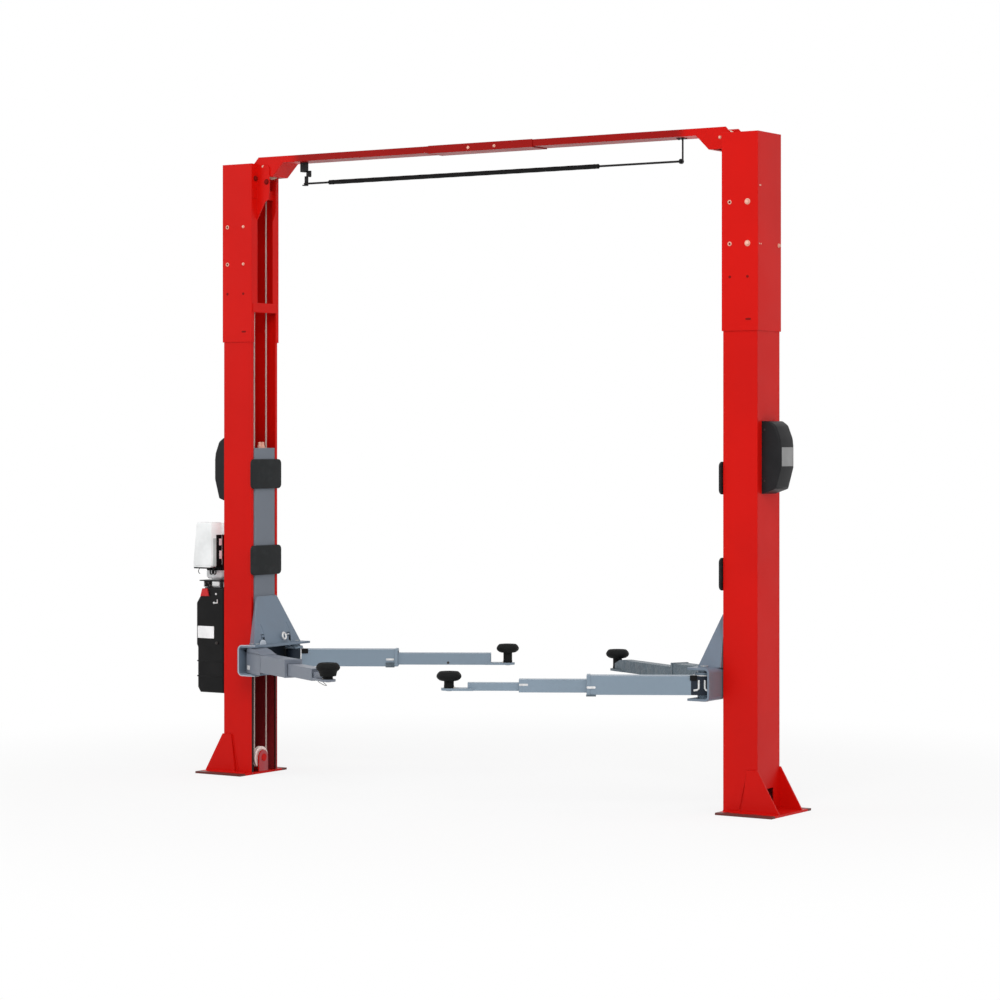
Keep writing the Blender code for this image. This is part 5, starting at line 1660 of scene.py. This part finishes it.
    def wall_shadow(self) -> None:
        """A dark plate with a slanted upper edge on the yoke's inner wall: a painted shadow."""
        low, high = self.yoke[0] + 0.030, self.yoke[1] - 0.030
        outline = [(-0.2235, high), (-0.1065, 0.668), (-0.1065, low), (0.262, low), (0.262, high)]
        plate = Form().slab([(0.1208, self.post.sign * y, z) for y, z in outline], (0.0014, 0.0, 0.0))
        self.ride(plate, "yoke_wall_shadow", Look.BLUE_SHADE)

    def slot_fills(self) -> None:
        """Cover plates in the bracket's slots, above the restraint knobs."""
        plates = Form()
        for y in (-0.125, 0.125):
            outer = [(self.face_at(z) - 0.0006, z) for z in (0.8305, 0.892)]
            inner = [(x - 0.005, z) for x, z in reversed(outer)]
            plates.slab([(x, y - 0.0166, z) for x, z in outer + inner], (0.0, 0.0332, 0.0))
            plates.block((0.1580, y - 0.0300, 0.7735), (0.1620, y + 0.0300, 0.8450))
        self.ride(plates, "slot_plates", Look.GREY)

    @staticmethod
    def face_at(z: float) -> float:
        """How far the flared bracket's face stands out at a height."""
        return 0.2025 - (z - 0.769) * (0.2025 - 0.1208) / (1.033 - 0.769)

    def foot_tabs(self) -> None:
        """Half-round tabs at the bracket's foot: one on the left carriage, two on the right one."""
        tabs = Form()
        for y in (-0.149,) if self.post.sign > 0 else (-0.149, 0.149):
            outline = arc((y, self.yoke[1] - 0.001), 0.030, 0, 180, 16)
            tab = Form().slab([(0.2045, a, b) for a, b in outline], (0.006, 0.0, 0.0))
            tabs.add(tab.bevel(0.0012, 2))
        self.ride(tabs, "foot_tabs", Look.PALE_GREY)


@dataclass(frozen=True)
class Stop:
    """A stop plate on a stage's face.

    Attributes:
        along: Its place along the arm.
        z: Its height.
        half: Half its length.
        rise: Half its height.
        look: Its finish.
        foot: Height of the underside of the block under it and of that block's lip, if it has one.
    """

    along: float
    z: float
    half: float = 0.024
    rise: float = 0.006
    look: Look = Look.BRIGHT
    foot: tuple[float, float] | None = None


@dataclass
class SwingArm:
    """One arm's stop plates, root sleeve, pad and release ring, in the arm's own frame.

    Attributes:
        post: The arm's post.
        end: front or rear.
        side: The post frame's side it stands on.
        angle: How far it is swung, in degrees.
        pad_at: Distance of the pad from the pin.
        holder: Upper face of the pad's holder.
        paint: The arm's finish.
        root: Length of the sleeve over the root, or 0 for none.
        collar: Whether a bright collar ends the sleeve.
        casting: Whether the root is a tall casting instead of the sleeve.
        nose: Whether a sloping nose closes the inner stage's end.
        pad_drop: How far the pad is screwed down on its stem.
        cup: Height of the underside of its rubber before that.
        stops: The stop plates on its faces.
    """

    post: Post
    end: str
    side: int
    angle: float
    pad_at: float
    holder: float
    paint: Look
    root: float = 0.0
    collar: bool = False
    casting: bool = False
    nose: bool = False
    pad_drop: float = 0.0
    cup: float = PAD_CUP
    stops: tuple[Stop, ...] = ()

    @property
    def name(self) -> str:
        """The arm's name in the frame."""
        return f"{self.post.side}_{self.end}"

    @property
    def front(self) -> int:
        """The side of the arm, in its own frame, that faces the lift's front."""
        return -self.post.sign

    def matrix(self) -> Matrix:
        """The arm's own frame, with its origin under the pin."""
        place = Matrix.Translation((PIVOT[0], self.side * PIVOT[1], 0.0))
        swing = Matrix.Rotation(math.radians(self.side * self.angle), 4, "Z")
        return self.post.matrix() @ place @ swing

    def ride(
        self, form: Form, name: str, look: Look, body: str, smooth: float = 35.0
    ) -> bpy.types.Object:
        """Turns a form into the arm's frame and fixes it to one of its bodies."""
        form.moved(self.matrix())
        return form.piece(f"{self.name}_{name}", look, f"{self.name}_{body}", smooth)

    def build(self) -> None:
        """Dresses the arm and adds its small parts."""
        nodes = [f"{self.name}_arm_outer", f"{self.name}_arm_inner"]
        if self.end == "front":
            nodes.append(f"{self.name}_arm_middle")
        dress(self.paint, *nodes)
        dress(Look.GREY, f"{self.name}_arm_restraint")
        self.pad()
        self.root_sleeve()
        self.stop_plates()
        self.end_lips()
        self.release_ring()
        self.holder_bolts()
        self.nose_wedge()

    def pad(self) -> None:
        """The rubber pad: a ribbed disc on a deep cup, with its steel stem."""
        under = self.cup
        base = 0.0400 + 0.2 * (PAD_CUP - under)
        profile = [(under, 0.0), (under, base - 0.01), (under + 0.0015, base), (0.7130, 0.0505)]
        profile += [(0.7200, 0.0595), (0.7255, 0.0640), (0.7310, 0.0664), (0.7365, 0.0666)]
        profile += [(0.7420, 0.0648), (0.7500, 0.0600), (0.7555, 0.0550)]
        for k in range(4):
            radius = 0.050 - 0.011 * k
            profile += [(0.7595, radius), (0.7600, radius - 0.0055)]
            profile += [(0.7584, radius - 0.0065), (0.7584, radius - 0.0095)]
        profile += [(0.7590, 0.0)]
        profile = [(height - self.pad_drop, radius) for height, radius in profile]
        rubber = Form().turned(profile, (self.pad_at, 0.0, 0.0), Z_AXIS, 64)
        piece = self.ride(rubber, "pad_rubber", Look.RUBBER, "pad", 40.0)
        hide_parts(f"{self.name}_pad")
        low = self.holder + 0.0003
        top = under + 0.004 - self.pad_drop
        stem = [(low - 0.016, 0.0), (low - 0.016, 0.0145), (low - 0.0145, 0.016), (low, 0.016)]
        stem += [(low, 0.026), (low + 0.001, 0.027), (low + 0.014, 0.027), (low + 0.016, 0.0262)]
        stem += [(top, 0.0262), (top, 0.0)]
        turned = Form().turned(stem, (self.pad_at, 0.0, 0.0), Z_AXIS, 40)
        self.ride(turned, "pad_stem", Look.RUBBER, "pad")

    def root_sleeve(self) -> None:
        """The sleeve over the arm's root: dark blue as painted shade, with a rubber block, or the walls of
        a casting.
        """
        if not self.root:
            return
        half, wall = 0.0504, 0.0012
        # Painted shade: the sleeve is dark blue where the root lies in the yoke
        low, high, look = 0.6280, 0.7284, Look.BLUE_SHADE
        if self.casting:
            low, high, look = 0.6118, 0.7335, self.paint
            self.casting_caps()
        outer = [(self.root, -half - wall), (self.root, -half)]
        outer += arc((0.0, 0.0), half, 270, 90, 20)
        outer += [(self.root, half), (self.root, half + wall)]
        outer += arc((0.0, 0.0), half + wall, 90, 270, 20)
        sleeve = Form().slab([(x, y, low) for x, y in outer], (0.0, 0.0, high - low))
        self.ride(sleeve, "root_sleeve", look, "arm")
        if self.casting:
            return
        if self.collar:
            self.collar_bar(self.root, half + 0.0003)
        near, far = sorted((self.front * OUTER_HALF, self.front * 0.0590))
        start = self.root + 0.008 if self.collar else self.root - 0.032
        block = Form().block((start, near, 0.7050), (start + 0.038, far, 0.7330))
        self.ride(block.bevel(0.003, 3), "root_bumper", Look.RUBBER, "arm")
        if not self.collar:
            self.thrust_ring()

    def collar_bar(self, start: float, edge: float) -> None:
        """The bright bar round a sleeve's end.

        Args:
            start: Its place along the arm.
            edge: Half the width that it reaches round.
        """
        end, outside = start + 0.007, edge + 0.004
        bar = Form()
        bar.block((start, -outside, 0.6270), (end, -edge, 0.7295))
        bar.block((start, edge, 0.6270), (end, outside, 0.7295))
        bar.block((start, -outside, 0.7284), (end, outside, 0.7315))
        self.ride(bar.bevel(0.0007, 1), "collar", Look.BRIGHT, "arm")

    def thrust_ring(self) -> None:
        """The bright ring on the arm's head, and the two hooks on its side."""
        ring = [(0.7284, 0.036), (0.7284, 0.055), (0.7290, 0.0560)]
        ring += [(0.7328, 0.0560), (0.7334, 0.055), (0.7334, 0.036)]
        disc = Form().turned([*ring, ring[0]], (0.0, 0.0, 0.0), Z_AXIS, 48)
        self.ride(disc, "thrust_ring", Look.BRIGHT, "arm")
        hooks = Form()
        y = self.front * 0.0547
        for x, foot in ((0.028, 0.028), (-0.004, -0.016)):
            path = [(x, y, 0.7080), (x, y, 0.6640), (x + foot * 0.3, y, 0.6560), (x + foot, y, 0.6530)]
            hooks.sweep(path, 0.0054, 12)
        self.ride(hooks, "root_hooks", Look.BRIGHT, "arm")

    def casting_caps(self) -> None:
        """The casting's wall, cap and keel, clear of the pin, and what fills the stages' mouths."""
        front, root, start, face = self.front, self.root, 0.024, self.front * 0.0514
        fill = Form().block((0.588, -0.0390, 0.7073), (0.6195, 0.0390, 0.7178))
        self.ride(fill, "mouth_fill", self.paint, "arm")
        fill = Form().block((0.945, -0.0268, 0.6883), (0.9845, 0.0268, 0.6963))
        self.ride(fill, "middle_fill", self.paint, "middle")
        top = [(0.0, OUTER_HIGH), (0.0, 0.7582), (0.070, 0.7582), (0.130, 0.7505)]
        top += [(root, 0.7310), (root, OUTER_HIGH)]
        wall = Form().slab([(x, front * 0.0516, z) for x, z in top], (0.0, -front * 0.0026, 0.0))
        self.ride(wall, "root_wall", self.paint, "arm")
        cap = [(start, OUTER_HIGH), (start, 0.7580), (0.070, 0.7580), (0.130, 0.7503)]
        cap += [(root, 0.7308), (root, OUTER_HIGH)]
        caps = Form().slab([(x, face, z) for x, z in cap], (0.0, -front * 0.1004, 0.0))
        keel = [(start, 0.6282), (root, 0.6282), (root, 0.6268), (0.100, 0.6135), (start, 0.6120)]
        caps.slab([(x, face, z) for x, z in keel], (0.0, -front * 0.1028, 0.0))
        self.ride(caps, "root_caps", self.paint, "arm")
        near, far = sorted((face, front * 0.0545))
        patch = Form().block((0.010, near, 0.632), (0.048, far, 0.657)).bevel(0.001, 2)
        self.ride(patch, "root_patch", Look.BRIGHT, "arm")

    def stop_plates(self) -> None:
        """The plates on the stages' faces that keep a stage from being drawn right out."""
        beyond = "middle" if self.end == "front" else "inner"
        for k, stop in enumerate(self.stops):
            on_outer = stop.along < OUTER_END
            body = "arm" if on_outer else beyond
            face, proud = (OUTER_HALF, 0.0045) if on_outer else (NEXT_HALF, 0.0002)
            start, end = self.front * (face - 0.0010), self.front * (face + proud)
            low = (stop.along - stop.half, stop.z - stop.rise)
            high = (stop.along + stop.half, stop.z + stop.rise)
            outline = rounded(low, high, 0.9 * stop.rise, 6)
            plate = Form().slab([(x, start, z) for x, z in outline], (0.0, end - start, 0.0))
            self.ride(plate, f"stop_plate_{k}", stop.look, body)
            if stop.foot:
                # The block wears the arm paint's shaded copy, a painted shade
                self.ride(self.stop_foot(stop, face), f"stop_foot_{k}", Look.ARM_SHADED, body)

    def stop_foot(self, stop: Stop, face: float) -> Form:
        """The block under a stop plate, with a lip up the face where it reaches that high.

        Args:
            stop: The stop plate.
            face: Distance of the stage's face from its middle.

        Returns:
            A form of its own.
        """
        low, high = stop.foot
        first, last = stop.along - 0.026, stop.along + 0.026
        near, far = sorted((self.front * (face - 0.020), self.front * (face + 0.004)))
        foot = Form().block((first, near, low), (last, far, OUTER_LOW))
        if high > OUTER_LOW:
            outside = min(self.front * (face + 0.0003), self.front * (face + 0.004))
            foot.block((first, outside, 0.6270), (last, outside + 0.0037, high))
        return foot

    def end_lips(self) -> None:
        """Stiffening lips round the outer stage's open end."""
        edge, wall, low, high = 0.0503, 0.003, 0.6280, OUTER_HIGH
        out, top = edge + wall, high + wall
        outer = [(-out, low), (-out, top), (out, top), (out, low)]
        inner = [(edge, low), (edge, high), (-edge, high), (-edge, low)]
        lip = Form().slab([(0.600, y, z) for y, z in outer + inner], (0.018, 0.0, 0.0)).bevel(0.0008, 2)
        self.ride(lip, "end_lip", self.paint, "arm")

    def release_ring(self) -> None:
        """The pull ring on the restraint's knob."""
        # The front left arm has none
        if self.name == "left_front":
            return
        centre = Vector((0.2075, self.side * 0.055, 0.8145))
        lean = Matrix.Rotation(math.radians(-16.0), 4, "Y")
        loop = []
        for k in range(33):
            turn = 2 * math.pi * k / 32
            width = 0.0150 - 0.003 * math.sin(turn)
            spot = Vector((0.0, width * math.cos(turn), 0.0195 * math.sin(turn)))
            loop.append(centre + (lean @ spot))
        form = Form().sweep(loop, 0.0056, 12)
        neck = Vector((PIVOT[0] + 0.004, self.side * 0.125, 0.822))
        touch = centre + (lean @ Vector((0.0, 0.0135 * self.side, 0.0060)))
        middle = neck.lerp(touch, 0.5) + Vector((0.006, 0.0, 0.0))
        form.sweep([neck, middle, touch], 0.0030, 10)
        self.post.fit(form, f"{self.end}_release_ring", Look.BRIGHT, f"{self.name}_arm_restraint")

    def nose_wedge(self) -> None:
        """The sloping nose between the inner stage and the pad's stem."""
        if not self.nose:
            return
        roof, half = (0.6870, 0.0255) if self.end == "front" else (0.7055, 0.0365)
        floor = self.holder - 0.0003
        start, end = self.pad_at - 0.105, self.pad_at - 0.030
        outline = [(start, floor), (end, floor), (end, roof - 0.022), (start + 0.02, roof), (start, roof)]
        wedge = Form().slab([(x, -half, z) for x, z in outline], (0.0, 2 * half, 0.0)).bevel(0.0015, 2)
        self.ride(wedge, "nose", self.paint, "inner")

    def holder_bolts(self) -> None:
        """The retaining screws round the pad's socket."""
        screws = Form()
        for turn in (150, 210):
            x = self.pad_at + 0.033 * math.cos(math.radians(turn))
            y = 0.033 * math.sin(math.radians(turn))
            screws.add(Bolt(0.008, 0.004, 0.0062, 0.001).form((x, y, self.holder), Z_AXIS))
        self.ride(screws, "holder_screws", Look.ZINC, "inner")


@dataclass
class SpringClip:
    """The wire spring under the front left pad that keeps its stem in the holder.

    Attributes:
        arm: The arm that carries it.
        radius: Radius of the wire.
        height: Height of the holder's underside.
    """

    arm: SwingArm
    radius: float = 0.0016
    height: float = 0.6440

    def build(self) -> None:
        """Bends the wire under the holder, with one end standing out."""
        x, low = self.arm.pad_at, self.height
        path = [(x - 0.090, -0.022, low), (x - 0.060, -0.034, low - 0.003)]
        path += [(x - 0.020, -0.038, low - 0.007), (x + 0.012, -0.036, low - 0.013)]
        path += [(x + 0.026, -0.026, low - 0.018), (x + 0.020, -0.016, low - 0.018)]
        path += [(x - 0.006, -0.015, low - 0.012), (x - 0.040, -0.012, low - 0.005)]
        path += [(x - 0.080, -0.010, low)]
        wire = Form().sweep(path, self.radius, 10)
        self.arm.ride(wire, "spring_clip", Look.OILED, "inner")


@dataclass
class PowerUnit:
    """The motor, its white cover, the valve block and the oil tank on the left post.

    Attributes:
        axis: The motor's axis along X.
        low: Height of the motor's foot.
        high: Height of its cowl.
        radius: Its radius.
        front: The tank's front face.
        fins: Cooling fins round the motor.
    """

    axis: float = -0.2375
    low: float = 1.1446
    high: float = 1.470
    radius: float = 0.075
    front: float = -0.090
    fins: int = 40

    def build(self) -> None:
        """Dresses the unit's nodes and adds its parts."""
        dress(Look.TANK, "oil_tank")
        dress(Look.PALE_METAL, "pump_block")
        dress(Look.WHITE, "motor_terminal_box")
        self.motor()
        self.cover_side()
        self.glands()
        self.valves()
        self.tank_parts()

    def motor(self) -> None:
        """The finned barrel, the pale lower bell and the fan cowl."""
        centre = (self.axis, 0.0, 0.0)
        bell_top, fins_top = self.low + 0.050, self.high - 0.070
        core = self.radius - 0.009
        drum = [(bell_top, 0.0), (bell_top, core), (fins_top, core), (fins_top, 0.0)]
        barrel = Form().turned(drum, centre, Z_AXIS, 64)
        for k in range(self.fins):
            fin = Form().block((core - 0.002, -0.0012, bell_top), (self.radius, 0.0012, fins_top))
            turn = Matrix.Rotation(2 * math.pi * k / self.fins, 4, "Z")
            barrel.add(fin.moved(Matrix.Translation(centre) @ turn))
        piece = barrel.piece("motor_barrel", Look.BLACK)
        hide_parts("motor")
        edge, low, high = self.radius, self.low, self.high
        bell = [(low, 0.0), (low, edge - 0.012), (low + 0.003, edge - 0.009), (low + 0.010, edge - 0.002)]
        bell += [(low + 0.014, edge), (bell_top - 0.006, edge), (bell_top - 0.004, edge - 0.002)]
        bell += [(bell_top, edge - 0.002), (bell_top, 0.0)]
        Form().turned(bell, centre, Z_AXIS, 72).piece("motor_bell", Look.PALE_METAL)
        cowl = [(fins_top, 0.0), (fins_top, edge - 0.001), (fins_top + 0.002, edge), (high - 0.020, edge)]
        cowl += [(high - 0.010, edge - 0.004), (high - 0.003, edge - 0.014), (high, edge - 0.026)]
        for k in range(5):
            rim = edge - 0.030 - 0.008 * k
            cowl += [(high, rim), (high - 0.002, rim - 0.001)]
            cowl += [(high - 0.002, rim - 0.003), (high, rim - 0.004)]
        cowl += [(high, 0.0)]
        Form().turned(cowl, centre, Z_AXIS, 72).piece("motor_cowl", Look.BLACK)

    def cover_side(self) -> None:
        """The white cover's grey flank, the dark louvres beside it, its wing, lip and rim."""
        start, end = Vector((-0.188, -0.1353, 0.0)), Vector((-0.156, -0.0753, 0.0))
        out = Vector((0.8824, -0.4706, 0.0))

        def plate(first: float, last: float, low: float, high: float, depth: float) -> Form:
            """A plate on the slanted flank, between two shares of its width and two heights."""
            a, b = start.lerp(end, first) - out * 0.001, start.lerp(end, last) - out * 0.001
            ring = [(a.x, a.y, low), (b.x, b.y, low), (b.x, b.y, high), (a.x, a.y, high)]
            return Form().slab(ring, tuple(out * (0.001 + depth)))

        flank = plate(0.16, 0.44, 1.222, 1.388, 0.0012).bevel(0.0005, 1)
        flank.piece("cover_flank", Look.SIDE_TRIM)
        dark = plate(0.44, 0.960, 1.219, 1.409, 0.0008)
        for z in steps_between(1.234, 1.396, 0.024):
            dark.add(plate(0.50, 0.93, z - 0.003, z + 0.003, 0.003).bevel(0.0008, 1))
        dark.piece("cover_louvres", Look.TANK)
        patches = plate(0.70, 0.96, 1.346, 1.386, 0.0040).bevel(0.0012, 2)
        patches.add(plate(0.72, 0.96, 1.266, 1.315, 0.0040).bevel(0.0012, 2))
        patches.piece("louvre_shields", Look.BLUSH)
        wing = Form().block((-0.1640, -0.0770, 1.4090), (-0.1110, -0.0660, 1.4790)).bevel(0.004, 3)
        wing.piece("cover_wing", Look.WHITE)
        lip = Form().block((-0.3300, -0.1345, 1.2145), (-0.1990, -0.0800, 1.2222)).bevel(0.0035, 3)
        lip.piece("cover_lip", Look.WHITE)
        rim = Form().block((-0.3270, -0.1320, 1.2065), (-0.2060, -0.0820, 1.2150)).bevel(0.0030, 2)
        rim.piece("cover_rim", Look.TANK)

    def glands(self) -> None:
        """Cable glands with a bent lead each, and the hook under the cover."""
        glands = Form()
        y, bend = -0.100, 0.0085
        profile = [(1.2145, 0.0), (1.2145, 0.0110), (1.2060, 0.0110)]
        profile += [(1.2050, 0.0080), (1.2020, 0.0080), (1.2020, 0.0)]
        for x in (-0.2260, -0.2010):
            glands.turned(profile, (x, y, 0.0), Z_AXIS, 28)
            turn = [(x + bend - a, y, 1.182 + b) for a, b in arc((0, 0), bend, 0, -180, 10)]
            glands.sweep([(x, y, 1.206), *turn, (x + 0.017, y, 1.196)], 0.0038, 12)
        glands.piece("cable_glands", Look.TANK)
        hook = [(-0.308, 1.2215), (-0.309, 1.205), (-0.3155, 1.195), (-0.3165, 1.186), (-0.3120, 1.178)]
        hook += [(-0.3050, 1.176)]
        wire = Form().sweep([(x, y, z) for x, z in hook], 0.0022, 10)
        wire.piece("cover_hook", Look.TANK)

    def valves(self) -> None:
        """The valve block's coil, plugs and bolts."""
        shelf = Form().block((-0.3380, -0.0640, 1.1290), (-0.1320, 0.0300, 1.1352)).bevel(0.0008, 2)
        shelf.block((-0.3040, -0.0600, 1.0960), (-0.2440, -0.0500, 1.1295))
        shelf.block((-0.1850, -0.0600, 1.0960), (-0.1640, -0.0500, 1.1295))
        shelf.piece("valve_shelf", Look.TANK)
        coil = Form().block((-0.2420, -0.0640, 1.1010), (-0.1900, -0.0540, 1.1280)).bevel(0.002, 2)
        coil.piece("valve_coil", Look.WHITE)
        plugs = Form()
        for x, z in ((-0.292, 1.112), (-0.268, 1.118), (-0.256, 1.104)):
            plugs.add(Bolt(0.012, 0.006, 0.008).form((x, -0.0598, z), FRONTWARDS))
        plugs.piece("valve_plugs", Look.OILED)
        bolts = Form()
        for y in (-0.068, 0.068):
            for z in (1.048, 1.180):
                bolts.add(Bolt(0.013, 0.007, 0.011).form((-0.1108, y, z), (-1, 0, 0)))
        bolts.piece("bracket_bolts", Look.ZINC)

    def tank_parts(self) -> None:
        """The red filler cap, the blank plate, the fittings and the ribs on the tank."""
        y = self.front
        outline = [(-0.3035, 1.0406), (-0.2410, 1.0425), (-0.2525, 1.0885), (-0.2890, 1.0875)]
        cap = Form().slab([(x, y + 0.001, z) for x, z in outline], (0.0, -0.0125, 0.0)).bevel(0.003, 3)
        cap.piece("filler_cap", Look.RED_CAP)
        corners = rounded((-0.3305, 0.7905), (-0.2065, 0.8625), 0.003, 4)
        plate = Form().slab([(x, y + 0.001, z) for x, z in corners], (0.0, -0.0024, 0.0)).bevel(0.0004, 1)
        plate.piece("blank_plate", Look.PLATE)
        rivets = Form()
        dome = [(0.0, 0.0), (0.0, 0.0022), (0.0004, 0.0022), (0.0012, 0.0014), (0.0014, 0.0)]
        for x in (-0.3245, -0.2125):
            for z in (0.7965, 0.8565):
                rivets.turned(dome, (x, y - 0.0013, z), FRONTWARDS, 16)
        rivets.piece("plate_rivets", Look.ZINC)
        pipe = y - 0.006
        fitting = Form()
        fitting.add(Bolt(0.008, 0.004, 0.0065).form((-0.191, y, 1.056), FRONTWARDS))
        fitting.add(Bolt(0.009, 0.005, 0.0070).form((-0.205, y, 1.003), FRONTWARDS))
        fitting.add(Form().rod((-0.205, pipe, 1.003), (-0.174, pipe, 1.003), 0.0035, sides=16))
        fitting.add(Form().rod((-0.176, pipe, 1.001), (-0.176, pipe, 1.024), 0.0035, sides=16))
        fitting.piece("return_fitting", Look.BRIGHT)
        knob = [(0.0, 0.0), (0.0, 0.0095), (0.004, 0.0095), (0.006, 0.0075), (0.010, 0.0070), (0.011, 0.0)]
        Form().turned(knob, (-0.1834, y, 0.7646), FRONTWARDS, 24).piece("drain_knob", Look.OILED)
        ribs = Form()
        for z in (0.560, 0.650):
            ribs.block((-0.3335, y - 0.0022, z), (-0.1330, y + 0.001, z + 0.008))
        ribs.bevel(0.0012, 2)
        ribs.piece("tank_ribs", Look.TANK)


def size_table() -> None:
    """Puts the frame's box and the dressed lift's box side by side, and keeps neither."""
    boxes = {"cad": CAD_BOX, "visual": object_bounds()}
    {name: [list(corner) for corner in box] for name, box in boxes.items()}


def arms(left: Post, right: Post) -> list[SwingArm]:
    """The four arms as the photograph shows them, each with its own fittings.

    Args:
        left: The left post.
        right: The right post.

    Returns:
        The arms in the order in which they are built.
    """
    rear_stops = (
        Stop(0.5735, 0.670, foot=(0.6225, 0.6520)),
        Stop(0.918, 0.650, half=0.0075, rise=0.0080, look=Look.OILED),
    )
    front_stops = (
        Stop(0.596, 0.667, foot=(0.6195, OUTER_LOW)),
        Stop(0.953, 0.679, rise=0.0055),
    )
    left_front = SwingArm(
        left, "front", -1, angle=31.5, pad_at=1.140, holder=FRONT_HOLDER, paint=Look.ARM_MAUVE,
        root=0.215, casting=True, nose=True, pad_drop=0.012, cup=0.6860,
    )
    left_rear = SwingArm(
        left, "rear", 1, angle=31.0, pad_at=1.271, holder=REAR_HOLDER, paint=Look.ARM,
        root=0.040, collar=True, stops=rear_stops,
    )
    right_front = SwingArm(
        right, "front", 1, angle=31.0, pad_at=1.350, holder=FRONT_HOLDER, paint=Look.ARM,
        root=0.069, pad_drop=0.014, stops=front_stops,
    )
    right_rear = SwingArm(
        right, "rear", -1, angle=29.0, pad_at=1.300, holder=REAR_HOLDER, paint=Look.ARM_SHADED,
        nose=True,
    )
    return [left_front, left_rear, right_front, right_rear]


def main() -> None:
    """Builds the studio and dresses the lift."""
    logging.basicConfig(level=logging.INFO, format="%(message)s")
    Studio().build()
    left, right = Post("left"), Post("right")
    PostDress(left, (-0.072, 0.046), SMALL_BOLT).build()
    PostDress(right, (-0.060, 0.046), Bolt(0.022, 0.007, 0.0165)).build()
    for post, top in ((left, 1.985), (right, 2.074)):
        Sheaves(post).build()
        Cylinder(post).build()
        LockCover(post, top).build()
        Carriage(post).build()
    EqualiserRope().build()
    Beam().build()
    for arm in arms(left, right):
        arm.build()
        if arm.casting:
            SpringClip(arm).build()
    PowerUnit().build()
    size_table()


if __name__ == "__main__":
    main()
